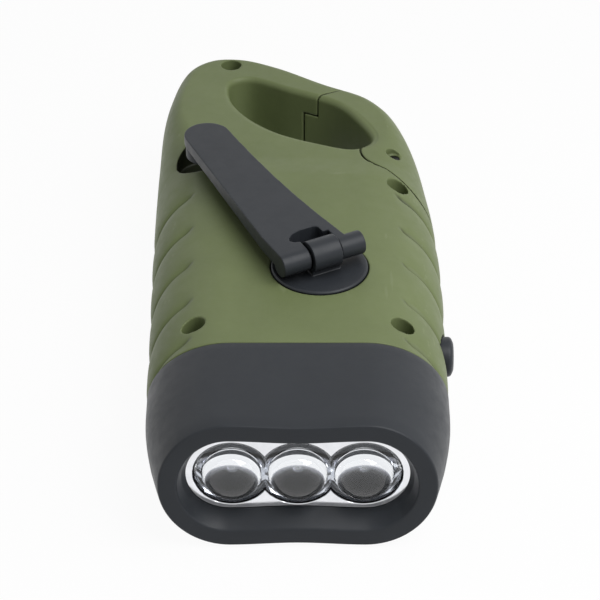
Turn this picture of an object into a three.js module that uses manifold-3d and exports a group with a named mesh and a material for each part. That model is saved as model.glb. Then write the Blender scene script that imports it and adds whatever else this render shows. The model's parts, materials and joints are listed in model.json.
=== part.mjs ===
// Hand crank flashlight: two moulded half shells with finger scallops and a snap gate loop, a lamp
// head with three lenses, a folding crank, its gear train and generator, a side push button.
// Millimetres, +Z up. The lamps face -Y, the loop is at +Y, the crank is on top. The origin is the
// centre of the flat underside, on the surface that the flashlight lies on.
import * as THREE from 'three';
import Module from 'manifold-3d';
import { mergeVertices } from 'three/addons/utils/BufferGeometryUtils.js';

const wasm = await Module();
wasm.setup();

// Driving dimensions. Every y is measured from the front of the lamp head.
const LENGTH = 143;
const HALF_WIDTH = 29.2;
const THICKNESS = 29;
const SEAM_Y = 26; // head to body
const EDGE_REACH = 16.5; // how far the rounded long edges reach in over the top face
const TAIL_REACH = 5; // the same round the loop
const TOP_DIP = 0.7; // the top and bottom faces step down behind the grip
const DIP_Y = 0.636 * LENGTH;
const PARTING_CHAMFER = 0.3;
const HEAD_WALL = 1.8;
const CASE_WALL = 1.6;
const FIT = 0.25; // clearance of parts that push together
const SEAT = 0.1; // clearance of faces that rest on each other
const RUN = 0.06; // radial clearance of a shaft in its bore
const GROOVE_PITCH = 0.0906 * LENGTH;
const GROOVE_COUNT = 5;
const FIRST_GROOVE_Y = SEAM_Y + 3.5; // on the upper flank
const GROOVE_DEPTH = 0.9;
const GROOVE_LIP = 0.07; // share of the pitch taken by a scallop's steep front
const GROOVE_SWEEP = 5.2; // the grooves lie this much further back on the parting line
const GROOVE_CURL = 3.5; // and this much at their inner ends
const GROOVE_REACH = 8.6; // how far the scallops reach in over the top face

const LENS_PITCH = 12.3;
const LENS_RADIUS = 5.5;
const LENS_RIM_RADIUS = 6.7;
const LENS_SEAT_RADIUS = 7.25;
const LENS_RISE = 2.4;
const WINDOW_HALF_WIDTH = 20.9;
const WINDOW_HALF_HEIGHT = 8.2;
const WINDOW_Y = 3.2;
const LIP = 1.1;
const WAIST = 0.5; // the head narrows a little between its outer lamps
const CUP_DEPTH = 7.2;
const LED_RADIUS = 2.45;
const LED_LENGTH = 8.2;
const BOARD = 1.2;

const CRANK_X = 4.3;
const CRANK_Y = 0.3608 * LENGTH;
const ARM_ANGLE = 118.4; // degrees, folded arm from +X
const DISC_RADIUS = 9.7;
const DISC_PROUD = 0.4;
const DISC_THICKNESS = 1.8;
const SHAFT_RADIUS = 3;
const HINGE_HEIGHT = 3.35; // hinge axis over the disc
const HINGE_BACK = 0.9; // the hinge axis lies this far behind the crank axis, seen along the arm
const LUG_RADIUS = 3.2;
const LUG_HALF_WIDTH = 3.1;
const NECK_FRONT = 2; // the lug's neck, from the hinge axis
const NECK_BACK = 1;
const BARREL_RADIUS = 2.4;
const BARREL_LEFT = 9.5; // the barrels' outer ends, from the middle of the hinge
const BARREL_RIGHT = 8.8;
const ARM_LENGTH = 49.2; // hinge axis to knob axis
const ARM_LEFT = 9.5; // the plate's left and right edges at the hinge
const ARM_RIGHT = 5.6;
const TIP_SIDE = 0.8; // the tip's centre lies this far to the left
const TIP_RADIUS = 4.85;
const HINGE_PIN_RADIUS = 1.1;
const KNOB_RADIUS = 4.6;
const KNOB_HEIGHT = 2.65;
const KNOB_PIN_RADIUS = 1.3;
const STOW_RADIUS = 6.5;
const STOW_AHEAD = 2.1; // the stow hole's centre lies this far past the knob's axis
const STOW_DEPTH = 7;

const MODULE = 0.024 * HALF_WIDTH;
const CRANK_TEETH = 36;
const SECOND_TEETH = 31;
const THIRD_TEETH = 26;
const PINION_TEETH = 10;
const MESH_GAP = 0.12; // added to each centre distance
const WHEEL = 2.2; // gear face width
const SECOND_ANGLE = 196;
const THIRD_ANGLE = 60;
const ROTOR_ANGLE = 80;
const SPINDLE_RADIUS = 1;

const BUTTON_Y = 41;
const BUTTON_RADIUS = 4;
const BUTTON_PROUD = 1.5;

const PIVOT_X = HALF_WIDTH - 8.6;
const PIVOT_Y = 0.6825 * LENGTH;
const KNUCKLE_RADIUS = 7;
const GATE_NOSE_X = 0.1575 * HALF_WIDTH;
const GATE_NOSE_Y = 0.8476 * LENGTH;
const GATE_GAP = 0.35;
const GATE_PIN_RADIUS = 1.25;
const NOSE_LAP = 3.2; // the nose's tongue reaches this far into the fixed bar
const NOSE_LAP_HALF = 8; // half height of that tongue
const LOOP_ROUND = 1.6; // edge radius of the loop's opening

const SCREWS = [
  { name: 'front_left_screw', x: -0.6918 * HALF_WIDTH, y: SEAM_Y + 0.0545 * LENGTH },
  { name: 'front_right_screw', x: 0.6918 * HALF_WIDTH, y: SEAM_Y + 0.0545 * LENGTH },
  { name: 'rear_right_screw', x: 0.7192 * HALF_WIDTH, y: 0.5958 * LENGTH },
  { name: 'tail_screw', x: -0.5274 * HALF_WIDTH, y: 0.9497 * LENGTH },
];
const SCREW_RADIUS = 1.1;
const SCREW_HEAD_RADIUS = 1.85;

const MID = THICKNESS / 2;
const EPS = 0.01;
const rad = THREE.MathUtils.degToRad;
const along = (x, y, distance, degrees) => [
  x + distance * Math.cos(rad(degrees)),
  y + distance * Math.sin(rad(degrees)),
];

// Where a point of the crank's own frame, arm along +y, lies in plan when the arm is folded.
function onCrank(x, y) {
  const [midX, midY] = along(CRANK_X, CRANK_Y, y, ARM_ANGLE);
  return along(midX, midY, x, ARM_ANGLE - 90);
}

// Solids. A geometry with shared vertices becomes a solid, and a solid a geometry again.
function solid(geometry) {
  const bare = geometry.clone();
  bare.deleteAttribute('normal');
  bare.deleteAttribute('uv');
  const merged = mergeVertices(bare, 1e-4);
  const from = merged.index.array;
  const faces = [];
  for (let i = 0; i < from.length; i += 3) {
    const [a, b, c] = [from[i], from[i + 1], from[i + 2]];
    if (a !== b && b !== c && c !== a) faces.push(a, b, c);
  }
  const position = merged.attributes.position.array;
  if (signedVolume(position, faces) < 0) faces.reverse();
  return new wasm.Manifold(
    new wasm.Mesh({ numProp: 3, vertProperties: position, triVerts: new Uint32Array(faces) }),
  );
}

function signedVolume(position, faces) {
  const point = (i) => new THREE.Vector3().fromArray(position, 3 * i);
  let volume = 0;
  for (let i = 0; i < faces.length; i += 3) {
    volume += point(faces[i]).dot(point(faces[i + 1]).cross(point(faces[i + 2]))) / 6;
  }
  return volume;
}

function geometryOf(manifold) {
  const mesh = manifold.getMesh();
  const geometry = new THREE.BufferGeometry();
  geometry.setAttribute('position', new THREE.BufferAttribute(mesh.vertProperties, 3));
  geometry.setIndex(new THREE.BufferAttribute(mesh.triVerts, 1));
  return geometry;
}

const union = (first, ...rest) => rest.reduce((sum, next) => sum.add(next), first);
const cut = (first, ...rest) => rest.reduce((left, next) => left.subtract(next), first);

function box(x0, x1, y0, y1, z0, z1) {
  const geometry = new THREE.BoxGeometry(x1 - x0, y1 - y0, z1 - z0);
  return solid(geometry.translate((x0 + x1) / 2, (y0 + y1) / 2, (z0 + z1) / 2));
}

// How many flats stand for a circle of this radius.
const sidesFor = (radius) => (radius < 1.2 ? 12 : radius < 2.4 ? 16 : radius < 5.2 ? 20 : 28);

// A round post or hole that stands along z.
function post(x, y, radius, z0, z1, sides = sidesFor(radius)) {
  const geometry = new THREE.CylinderGeometry(radius, radius, z1 - z0, sides);
  return solid(geometry.rotateX(Math.PI / 2).translate(x, y, (z0 + z1) / 2));
}

// A profile of [radius, height] pairs turned about z.
function turned(profile, sides = sidesFor(Math.max(...profile.map(([r]) => r)))) {
  const points = profile.map(([r, h]) => new THREE.Vector2(r, h));
  return solid(new THREE.LatheGeometry(points, sides).rotateX(Math.PI / 2));
}

// A flat outline raised along z.
function raised(points, z0, z1) {
  const shape = new THREE.Shape(points.map(([x, y]) => new THREE.Vector2(x, y)));
  const geometry = new THREE.ExtrudeGeometry(shape, { depth: z1 - z0, bevelEnabled: false });
  return solid(geometry.translate(0, 0, z0));
}

// A skin through rings of equal count. Each end is closed by a ladder of faces between the ring's
// two sides, or the last ring joins the first one.
function skin(rings, closed = false) {
  const count = rings[0].length;
  const position = rings.flat().flatMap((p) => [p.x, p.y, p.z]);
  const index = [];
  const spans = closed ? rings.length : rings.length - 1;
  for (let k = 0; k < spans; k += 1) {
    const low = k * count;
    const high = ((k + 1) % rings.length) * count;
    for (let i = 0; i < count; i += 1) {
      const j = (i + 1) % count;
      index.push(low + i, low + j, high + j, low + i, high + j, high + i);
    }
  }
  const cap = (start, flip) => {
    for (let i = 0; i < Math.floor((count - 1) / 2); i += 1) {
      const [a, b] = [start + i, start + i + 1];
      const [c, d] = [start + count - 1 - i, start + count - 2 - i];
      const faces = b === d ? [[a, b, c]] : [[a, b, d], [a, d, c]];
      faces.forEach(([p, q, r]) => index.push(...(flip ? [p, r, q] : [p, q, r])));
    }
  };
  if (!closed) {
    cap(0, true);
    cap(rings.length * count - count, false);
  }
  const geometry = new THREE.BufferGeometry();
  geometry.setAttribute('position', new THREE.Float32BufferAttribute(position, 3));
  geometry.setIndex(index);
  return solid(geometry);
}

// Case surface. The plan outline runs from the right front, round the loop, to the left front.
const CASE_FRONT_Y = 12;
const TAIL_START_Y = 0.692 * LENGTH;
const outline = new THREE.CatmullRomCurve3(
  [
    [HALF_WIDTH, CASE_FRONT_Y],
    [HALF_WIDTH + 0.1, SEAM_Y + 9],
    [HALF_WIDTH + 0.5, 0.46 * LENGTH],
    [HALF_WIDTH - 0.8, 0.64 * LENGTH],
    [HALF_WIDTH - 3.9, 0.765 * LENGTH],
    [HALF_WIDTH - 11.2, 0.862 * LENGTH],
    [0.26 * HALF_WIDTH, 0.913 * LENGTH],
    [-0.11 * HALF_WIDTH, 0.968 * LENGTH],
    [-0.42 * HALF_WIDTH, 0.9965 * LENGTH],
    [-0.705 * HALF_WIDTH, 0.9937 * LENGTH],
    [-HALF_WIDTH + 2.4, 0.957 * LENGTH],
    [-HALF_WIDTH - 0.9, 0.867 * LENGTH],
    [-HALF_WIDTH - 1.6, 0.734 * LENGTH],
    [-HALF_WIDTH - 1.3, 0.5 * LENGTH],
    [-HALF_WIDTH - 0.5, SEAM_Y + 16],
    [-HALF_WIDTH, CASE_FRONT_Y],
  ].map(([x, y]) => new THREE.Vector3(x, y, 0)),
  false,
  'centripetal',
);
const OUTLINE_STEPS = 1500;
const outlinePoints = outline.getSpacedPoints(OUTLINE_STEPS);

// The fraction of the outline at which it passes y on its right or its left side.
function fractionAt(y, side) {
  const last = OUTLINE_STEPS;
  for (let i = 0; i < last; i += 1) {
    const k = side > 0 ? i : last - i;
    const next = side > 0 ? k + 1 : k - 1;
    const [here, there] = [outlinePoints[k].y, outlinePoints[next].y];
    if (there >= y) return (k + ((y - here) / (there - here)) * (next - k)) / last;
  }
  return 0.5;
}

function outlineAt(fraction) {
  const f = THREE.MathUtils.clamp(fraction, 0, 1);
  const point = outline.getPointAt(f);
  const tangent = outline.getTangentAt(f);
  return { point, inward: new THREE.Vector3(-tangent.y, tangent.x, 0).normalize() };
}

const blend = THREE.MathUtils.smoothstep;
const reachAt = (y) => {
  const towardsTail = blend(y, 0.573 * LENGTH, 0.825 * LENGTH);
  return THREE.MathUtils.lerp(EDGE_REACH, TAIL_REACH, towardsTail);
};
const halfHeightAt = (y) => {
  const rise = MID - TOP_DIP * blend(y, DIP_Y - 4, DIP_Y + 5);
  return rise - 0.5 * blend(y, DIP_Y + 5, LENGTH);
};

// Columns on one side: each scallop groove has its own column, with a close one for its lip.
function sideColumns() {
  const steps = [0, GROOVE_LIP, 0.3, 0.6, 0.85];
  const ys = [CASE_FRONT_Y, SEAM_Y - 5];
  for (let groove = 0; groove < GROOVE_COUNT; groove += 1) {
    steps.forEach((step) => ys.push(FIRST_GROOVE_Y + (groove + step) * GROOVE_PITCH));
  }
  return ys.filter((y) => y < TAIL_START_Y - 5);
}

function caseColumns(fine) {
  const coarse = [CASE_FRONT_Y, ...[0.21, 0.35, 0.49, 0.6].map((share) => share * LENGTH), TAIL_START_Y - 4];
  const ys = fine ? sideColumns() : coarse;
  const tailSteps = fine ? 24 : 8;
  const right = ys.map((y) => ({ f: fractionAt(y, 1), side: 1 }));
  const left = ys.map((y) => ({ f: fractionAt(y, -1), side: -1 })).reverse();
  const [start, end] = [fractionAt(TAIL_START_Y, 1), fractionAt(TAIL_START_Y, -1)];
  const tail = [];
  for (let i = 0; i <= tailSteps; i += 1) {
    tail.push({ f: THREE.MathUtils.lerp(start, end, i / tailSteps), side: 0 });
  }
  return [...right, ...tail, ...left];
}

// How far behind its place on the upper flank a groove lies, by its height over the parting line.
function grooveShift(climb, y) {
  const fade = 1 - blend(y, DIP_Y - 6, TAIL_START_Y);
  return fade * (GROOVE_SWEEP * (1 - blend(climb, 0, 0.5)) + GROOVE_CURL * blend(climb, 0.75, 0.9));
}

// How deep the scallops are cut: a steep lip behind each crease, then a long swell to the next.
function scallopDepth(y, inset) {
  const phase = (y - FIRST_GROOVE_Y) / GROOVE_PITCH;
  const fade = 1 - blend(inset, 0.5 * GROOVE_REACH, GROOVE_REACH);
  const step = phase - Math.floor(phase + EPS);
  let cut = 0;
  if (phase < -EPS) cut = blend(phase, -0.25, 0);
  else if (step < GROOVE_LIP) cut = 1 - Math.max(step, 0) / GROOVE_LIP;
  else if (phase < GROOVE_COUNT - 1) cut = ((step - GROOVE_LIP) / (1 - GROOVE_LIP)) ** 2.5;
  return phase < GROOVE_COUNT - 0.5 ? GROOVE_DEPTH * cut * fade : 0;
}

// A half of the case's outer form, grown inwards by offset. side is 1 for the top, -1 for the bottom.
function caseHalf(side, offset, fine) {
  const columns = caseColumns(fine);
  const levels = fine ? [0, 3, 20, 38, 54, 72, 90] : [0, 30, 60, 90];
  const rings = levels.map((degrees, k) => {
    const climb = Math.sin(rad(degrees));
    const lean = 1 - Math.cos(rad(degrees));
    return columns.map((column) => {
      const start = outlineAt(column.f).point.y;
      const shift = fine ? column.side * grooveShift(climb, start) : 0;
      const { point, inward } = outlineAt(column.f + shift / outline.getLength());
      const reach = Math.max(reachAt(point.y) - offset, 1);
      let inset = offset + reach * lean;
      let height = (halfHeightAt(point.y) - offset) * climb;
      if (fine && column.side) {
        const depth = scallopDepth(start, inset);
        inset += depth * Math.cos(rad(degrees));
        height -= depth * Math.sin(rad(degrees));
      }
      if (k === 0 && fine) inset += PARTING_CHAMFER;
      if (k === 1 && fine) height = PARTING_CHAMFER;
      const place = point.clone().addScaledVector(inward, inset);
      return new THREE.Vector3(place.x, place.y, MID + side * height);
    });
  });
  return skin(rings);
}

// The loop's opening, seen from above, as shares of the half width and the length.
const loopHole = new THREE.CatmullRomCurve3(
  [
    [-0.5205, 0.8462],
    [-0.3904, 0.7902],
    [-0.1644, 0.7427],
    [0.137, 0.7105],
    [0.4247, 0.6937],
    [0.5411, 0.7161],
    [0.4384, 0.779],
    [0.2808, 0.828],
    [-0.0685, 0.8713],
    [-0.3767, 0.9049],
    [-0.5103, 0.8951],
  ].map(([x, y]) => new THREE.Vector3(x * HALF_WIDTH, y * LENGTH, 0)),
  true,
  'centripetal',
);

// Its cutter flares at both faces, so the opening's edges come out rounded.
function loopHoleCutter() {
  const face = halfHeightAt(0.8 * LENGTH);
  const steps = [0, 0.35, 0.72, 1];
  const flare = steps.map((share) => [
    face - LOOP_ROUND * (1 - share),
    LOOP_ROUND * (1 - Math.sqrt(1 - share * share)),
  ]);
  const levels = [...flare, [face + 2, LOOP_ROUND]];
  const count = 28;
  const ring = ([z, grow]) =>
    Array.from({ length: count }, (_, i) => {
      const point = loopHole.getPointAt(i / count);
      const tangent = loopHole.getTangentAt(i / count);
      return new THREE.Vector3(point.x - grow * -tangent.y, point.y - grow * tangent.x, MID + z);
    });
  const upper = levels.map(ring);
  const lower = levels.map(([z, grow]) => ring([-z, grow])).reverse();
  return skin([...lower, ...upper]);
}

// The gate's plan: round its knuckle, down along its heel, outside the case, back along the arc on
// which its nose swings. grow makes the case's pocket for it, lap moves the nose out.
function gatePlan(grow, lap = 0) {
  const nose = Math.hypot(GATE_NOSE_X - PIVOT_X, GATE_NOSE_Y - PIVOT_Y) + lap;
  const noseAngle = THREE.MathUtils.radToDeg(
    Math.atan2(GATE_NOSE_Y - PIVOT_Y, GATE_NOSE_X - PIVOT_X),
  );
  const points = [];
  const arc = (radius, from, to, steps) => {
    for (let i = 0; i <= steps; i += 1) {
      points.push(along(PIVOT_X, PIVOT_Y, radius, from + ((to - from) * i) / steps));
    }
  };
  const tight = (grow / KNUCKLE_RADIUS) * (180 / Math.PI);
  arc(KNUCKLE_RADIUS + grow, 160 - tight, 252 + tight, 10);
  points.push([HALF_WIDTH - 2.9 - grow, PIVOT_Y - 12.5 - grow]);
  points.push([HALF_WIDTH + 5, PIVOT_Y - 18.5 - grow]);
  points.push([HALF_WIDTH + 8, PIVOT_Y + 20]);
  points.push([GATE_NOSE_X + 10.5, GATE_NOSE_Y + 14 + lap]);
  arc(nose + grow, 101, noseAngle + 4, 8);
  points.push([0.17 * HALF_WIDTH, 0.755 * LENGTH]);
  return points;
}

// The room that the gate takes up, with its lapped nose.
function gateRoom(grow) {
  const half = NOSE_LAP_HALF + grow;
  return union(
    raised(gatePlan(grow), -1, THICKNESS + 1),
    raised(gatePlan(grow, NOSE_LAP), MID - half, MID + half),
  );
}

const caseTop = (y) => MID + halfHeightAt(y);

// Screw towers inside the case, one half each.
function screwTowers(side) {
  const [low, high] = side > 0 ? [MID, THICKNESS] : [0, MID];
  const hollowEnd = CAVITY_END_Y + 2;
  return SCREWS.filter(({ y }) => y < hollowEnd).map(({ x, y }) => post(x, y, 3.6, low, high));
}

function screwHoles(side) {
  return SCREWS.flatMap(({ x, y }) =>
    side > 0
      ? [
          post(x, y, SCREW_HEAD_RADIUS + 0.15, MID + 4.5, THICKNESS + 1),
          post(x, y, SCREW_RADIUS + 0.15, MID - EPS, MID + 5),
        ]
      : [post(x, y, SCREW_RADIUS + RUN, MID - 9, MID + EPS)],
  );
}

function caseShell(side) {
  const half = box(-LENGTH, LENGTH, 0, 2 * LENGTH, side > 0 ? MID : -5, side > 0 ? LENGTH : MID);
  const body = caseHalf(side, 0, true).intersect(box(-LENGTH, LENGTH, SEAM_Y, 2 * LENGTH, -5, LENGTH));
  const lip = caseHalf(side, HEAD_WALL + FIT, false);
  const spigot = lip.intersect(box(-LENGTH, LENGTH, SEAM_Y - 4.5, SEAM_Y + 1, -5, LENGTH));
  const hollow = caseHalf(side, HEAD_WALL + FIT + CASE_WALL, false);
  const inside = hollow.intersect(box(-LENGTH, LENGTH, 0, CAVITY_END_Y, -5, LENGTH));
  const core = caseHalf(side, CASE_WALL, false).intersect(box(-LENGTH, LENGTH, SEAM_Y, 2 * LENGTH, -5, LENGTH));
  const fittings = union(...screwTowers(side), ...(side > 0 ? topInside() : bottomInside()));
  const full = union(cut(union(body, spigot), inside), fittings.intersect(core).intersect(half));
  const { knuckle, knuckleBore } = gateKnuckle();
  const shell = union(cut(full, loopHoleCutter(), gateRoom(GATE_GAP)), knuckle).intersect(half);
  const cuts = side > 0 ? topCuts() : [];
  return cut(shell, knuckleBore, buttonHole(), ...screwHoles(side), ...cuts);
}

// The case's tongue that the gate's fork turns on.
const TONGUE_RADIUS = 4.2;
const TONGUE_LOW = MID - 4.5;
const TONGUE_HIGH = MID + 4.5;
function gateKnuckle() {
  const disc = post(PIVOT_X, PIVOT_Y, TONGUE_RADIUS, TONGUE_LOW, TONGUE_HIGH);
  const neck = raised(
    [
      [PIVOT_X, PIVOT_Y],
      along(PIVOT_X, PIVOT_Y, KNUCKLE_RADIUS + 2, 198),
      along(PIVOT_X, PIVOT_Y, KNUCKLE_RADIUS + 2, 232),
    ],
    TONGUE_LOW,
    TONGUE_HIGH,
  );
  const knuckleBore = post(PIVOT_X, PIVOT_Y, GATE_PIN_RADIUS + RUN, TONGUE_LOW - 1, TONGUE_HIGH + 1);
  return { knuckle: union(disc, neck), knuckleBore };
}

// Recess and bearing of the crank, and the knob's stow hole.
function topCuts() {
  const [stowX, stowY] = onCrank(0, ARM_LENGTH - HINGE_BACK + STOW_AHEAD);
  const recess = THICKNESS + DISC_PROUD - DISC_THICKNESS - SEAT;
  return [
    post(CRANK_X, CRANK_Y, DISC_RADIUS + 0.3, recess, THICKNESS + 2),
    post(CRANK_X, CRANK_Y, SHAFT_RADIUS + RUN, CRANK_WHEEL_TOP - 3, THICKNESS + 2, 32),
    post(stowX, stowY, STOW_RADIUS, THICKNESS - STOW_DEPTH, THICKNESS + 2),
  ];
}

// Gear layers, from the crank gear at the top down to the rotor.
const CRANK_WHEEL_TOP = 22.6;
const CRANK_WHEEL = CRANK_WHEEL_TOP - WHEEL;
const SECOND_WHEEL = CRANK_WHEEL - 3.2;
const THIRD_WHEEL = SECOND_WHEEL - 3.4;
const PLATE_TOP = THIRD_WHEEL - 0.7;
const PLATE_LOW = PLATE_TOP - 1.5;
const meshDistance = (teeth) => (MODULE * (teeth + PINION_TEETH)) / 2 + MESH_GAP;
const [SECOND_X, SECOND_Y] = along(CRANK_X, CRANK_Y, meshDistance(CRANK_TEETH), SECOND_ANGLE);
const [THIRD_X, THIRD_Y] = along(SECOND_X, SECOND_Y, meshDistance(SECOND_TEETH), THIRD_ANGLE);
const [ROTOR_X, ROTOR_Y] = along(THIRD_X, THIRD_Y, meshDistance(THIRD_TEETH), ROTOR_ANGLE);
const ROTOR_RADIUS = 0.257 * HALF_WIDTH;
const STATOR_RADIUS = 0.438 * HALF_WIDTH;
const FLOOR = HEAD_WALL + FIT + CASE_WALL; // inner face of the bottom shell
const ROOF = THICKNESS - FLOOR;
const CAVITY_END_Y = ROTOR_Y + STATOR_RADIUS + 1.9;
const FRAME_POSTS = [
  [-0.685 * HALF_WIDTH, THIRD_Y - 2.5],
  [0.548 * HALF_WIDTH, THIRD_Y + 3.5],
  [0.445 * HALF_WIDTH, ROTOR_Y + 12],
];

function topInside() {
  const low = CRANK_WHEEL_TOP + 0.4;
  return [
    post(CRANK_X, CRANK_Y, SHAFT_RADIUS + 2, low, ROOF + 1),
    cut(
      post(SECOND_X, SECOND_Y, 2.6, CRANK_WHEEL_TOP + 0.6, ROOF + 1),
      post(SECOND_X, SECOND_Y, SPINDLE_RADIUS + RUN, 0, ROOF - 0.2),
    ),
  ];
}

function bottomInside() {
  const ring = cut(
    post(ROTOR_X, ROTOR_Y, STATOR_RADIUS - 0.5, FLOOR - 1, FLOOR + 0.8),
    post(ROTOR_X, ROTOR_Y, ROTOR_RADIUS + 1, 0, 20),
  );
  const spindleSeat = cut(
    post(ROTOR_X, ROTOR_Y, 2.4, FLOOR - 1, FLOOR + 1),
    rotorPin(RUN, FLOOR - 0.2, 20),
  );
  const posts = FRAME_POSTS.map(([x, y]) =>
    cut(
      post(x, y, 2.2, FLOOR - 1, PLATE_LOW - SEAT),
      post(x, y, 0.9 + RUN, PLATE_LOW - 5, PLATE_LOW + 1),
    ),
  );
  const [seatLow, seatHigh] = [FLOOR - 1, MID - SWITCH_HALF - SEAT];
  const switchSeat = box(SWITCH_X - 6.2, SWITCH_X - 0.2, BUTTON_Y - 2.5, BUTTON_Y + 2.5, seatLow, seatHigh);
  const cradle = [0.18, 0.8].map((share) => {
    const x = CELL_X + share * 3 * CELL_LENGTH;
    const rib = box(x - 0.8, x + 0.8, CELL_Y - 5.5, CELL_Y + 5.5, FLOOR - 1, FLOOR + 4);
    return cut(rib, cellCylinder(CELL_RADIUS + 0.15, CELL_X - 5, CELL_X + 30));
  });
  const boardPosts = [2.5, CHARGER_WIDTH - 2.5].flatMap((x) =>
    [2, CHARGER_LENGTH - 2].map((y) =>
      post(CHARGER_X + x, CHARGER_Y + y, 1.1, FLOOR - 1, FLOOR + CHARGER_RAISE),
    ),
  );
  return [ring, spindleSeat, ...posts, switchSeat, ...cradle, ...boardPosts];
}

// Cells: three button cells in a row, lying along x.
const CELL_RADIUS = 5.75;
const CELL_LENGTH = 5.3;
const CELL_X = -15.5; // the row's left end
const CELL_Y = SEAM_Y + 10;
const CELL_Z = FLOOR + 0.7 + CELL_RADIUS;
function cellCylinder(radius, x0, x1) {
  const geometry = new THREE.CylinderGeometry(radius, radius, x1 - x0, 28);
  return solid(geometry.rotateZ(Math.PI / 2).translate((x0 + x1) / 2, CELL_Y, CELL_Z));
}

function batteryPack() {
  const profile = [[0, 0]];
  for (let i = 0; i < 3; i += 1) {
    const low = i * CELL_LENGTH;
    profile.push([CELL_RADIUS - 0.5, low], [CELL_RADIUS, low + 0.5]);
    profile.push([CELL_RADIUS, low + CELL_LENGTH - 0.5]);
  }
  profile.push([CELL_RADIUS - 0.5, 3 * CELL_LENGTH], [0, 3 * CELL_LENGTH]);
  const points = profile.map(([r, h]) => new THREE.Vector2(r, h));
  const geometry = new THREE.LatheGeometry(points, 20).rotateZ(-Math.PI / 2);
  return solid(geometry.translate(CELL_X, CELL_Y, CELL_Z));
}

// Head. Each station is an oblong ring across y: half width, half height, corner reach, waist.
function headRing(y, halfWidth, halfHeight, reach, waist, steps = 6) {
  const quarter = [];
  for (let i = 0; i <= steps; i += 1) {
    const turn = (Math.PI / 2) * (i / steps);
    quarter.push([halfWidth - reach + reach * Math.cos(turn), halfHeight * Math.sin(turn)]);
  }
  const flat = quarter[steps][0];
  quarter.push([flat / 2, halfHeight]);
  const top = [...quarter, [0, halfHeight], ...quarter.slice().reverse().map(([x, z]) => [-x, z])];
  const ring = [...top, ...top.slice(1, -1).reverse().map(([x, z]) => [x, -z])];
  return ring.map(([x, z]) => {
    const pinch = waist * Math.cos((Math.PI / 2) * Math.min(Math.abs(x) / 13, 1)) ** 2;
    return new THREE.Vector3(x, y, MID + z * (1 - pinch / halfHeight));
  });
}

function headBezel() {
  const [lipW, lipH] = [WINDOW_HALF_WIDTH, WINDOW_HALF_HEIGHT];
  const [seatW, seatH] = [lipW + 2, lipH + 1.5];
  const lip = WINDOW_Y + LIP;
  const outer = (y, narrow, low, waist) =>
    headRing(y, HALF_WIDTH - narrow, MID - low, EDGE_REACH - narrow, waist);
  const rings = [
    outer(SEAM_Y - 0.35, 0, 0, 0),
    outer(14, 0.2, 0.1, 0.1),
    outer(8, 0.8, 0.35, 0.2),
    outer(4, 1.2, 0.45, 0.35),
    outer(1.6, 1.6, 0.65, WAIST),
    outer(0.5, 2.1, 1, WAIST),
    outer(0, 3, 1.7, WAIST),
    outer(0.3, 4.2, 2.8, WAIST),
    outer(1.6, 6.2, 4.4, WAIST),
    headRing(WINDOW_Y, lipW, lipH, lipH, WAIST),
    headRing(lip, lipW, lipH, lipH, WAIST),
    headRing(lip, seatW, seatH, seatH, WAIST),
    headRing(lip + 2.2, seatW, seatH, seatH, WAIST),
    outer(lip + 3.4, 3.4, 2.6, 0),
    outer(SEAM_Y - 5.5, HEAD_WALL, HEAD_WALL, 0),
    outer(SEAM_Y, HEAD_WALL, HEAD_WALL, 0),
    outer(SEAM_Y, 0.35, 0.35, 0),
  ];
  return skin(rings, true);
}

// Lamps. Each is drawn about z with its front down, then laid so that its front faces -Y.
const LENS_XS = [-LENS_PITCH, 0, LENS_PITCH];
const PLATE_Y = WINDOW_Y + LIP + SEAT; // chromed face
const FLANGE = 0.8;
const RECESS = 1.1;
const CUP_FRONT_Y = PLATE_Y + RECESS;
const BOARD_Y = CUP_FRONT_Y + CUP_DEPTH + 1.7;
const lampPlace = (manifold, x) => manifold.rotate([-90, 0, 0]).translate([x, 0, MID]);

// A profile of [radius, y] pairs turned about a lamp's axis.
function lampTurned(profile, x, sides = 20) {
  return lampPlace(turned(profile, sides), x);
}

function reflector() {
  const w = WINDOW_HALF_WIDTH + 2 - FIT;
  const h = WINDOW_HALF_HEIGHT + 1.5 - FIT;
  const back = PLATE_Y + 2;
  const cupBack = CUP_FRONT_Y + CUP_DEPTH;
  const plate = skin([headRing(PLATE_Y, w, h, h, WAIST), headRing(back, w, h, h, WAIST)]);
  const shellProfile = [
    [0, back - 1],
    [6, back - 1],
    [6, CUP_FRONT_Y + 2],
    [3.6, cupBack],
    [0, cupBack],
  ];
  const cupProfile = [[0, CUP_FRONT_Y - EPS]];
  for (let i = 0; i <= 4; i += 1) {
    const t = i / 4;
    cupProfile.push([5.35 - 2.65 * t ** 1.6, CUP_FRONT_Y - EPS + t * (CUP_DEPTH - 1.4)]);
  }
  cupProfile.push([LED_RADIUS + 0.25, cupBack + 1], [0, cupBack + 1]);
  const seatProfile = [
    [0, 0],
    [LENS_SEAT_RADIUS, 0],
    [LENS_SEAT_RADIUS, CUP_FRONT_Y],
    [0, CUP_FRONT_Y],
  ];
  const shells = LENS_XS.map((x) => lampTurned(shellProfile, x));
  const cups = LENS_XS.map((x) => lampTurned(cupProfile, x));
  const seats = LENS_XS.map((x) => lampTurned(seatProfile, x, 28));
  return cut(union(plate, ...shells), ...cups, ...seats);
}

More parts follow.
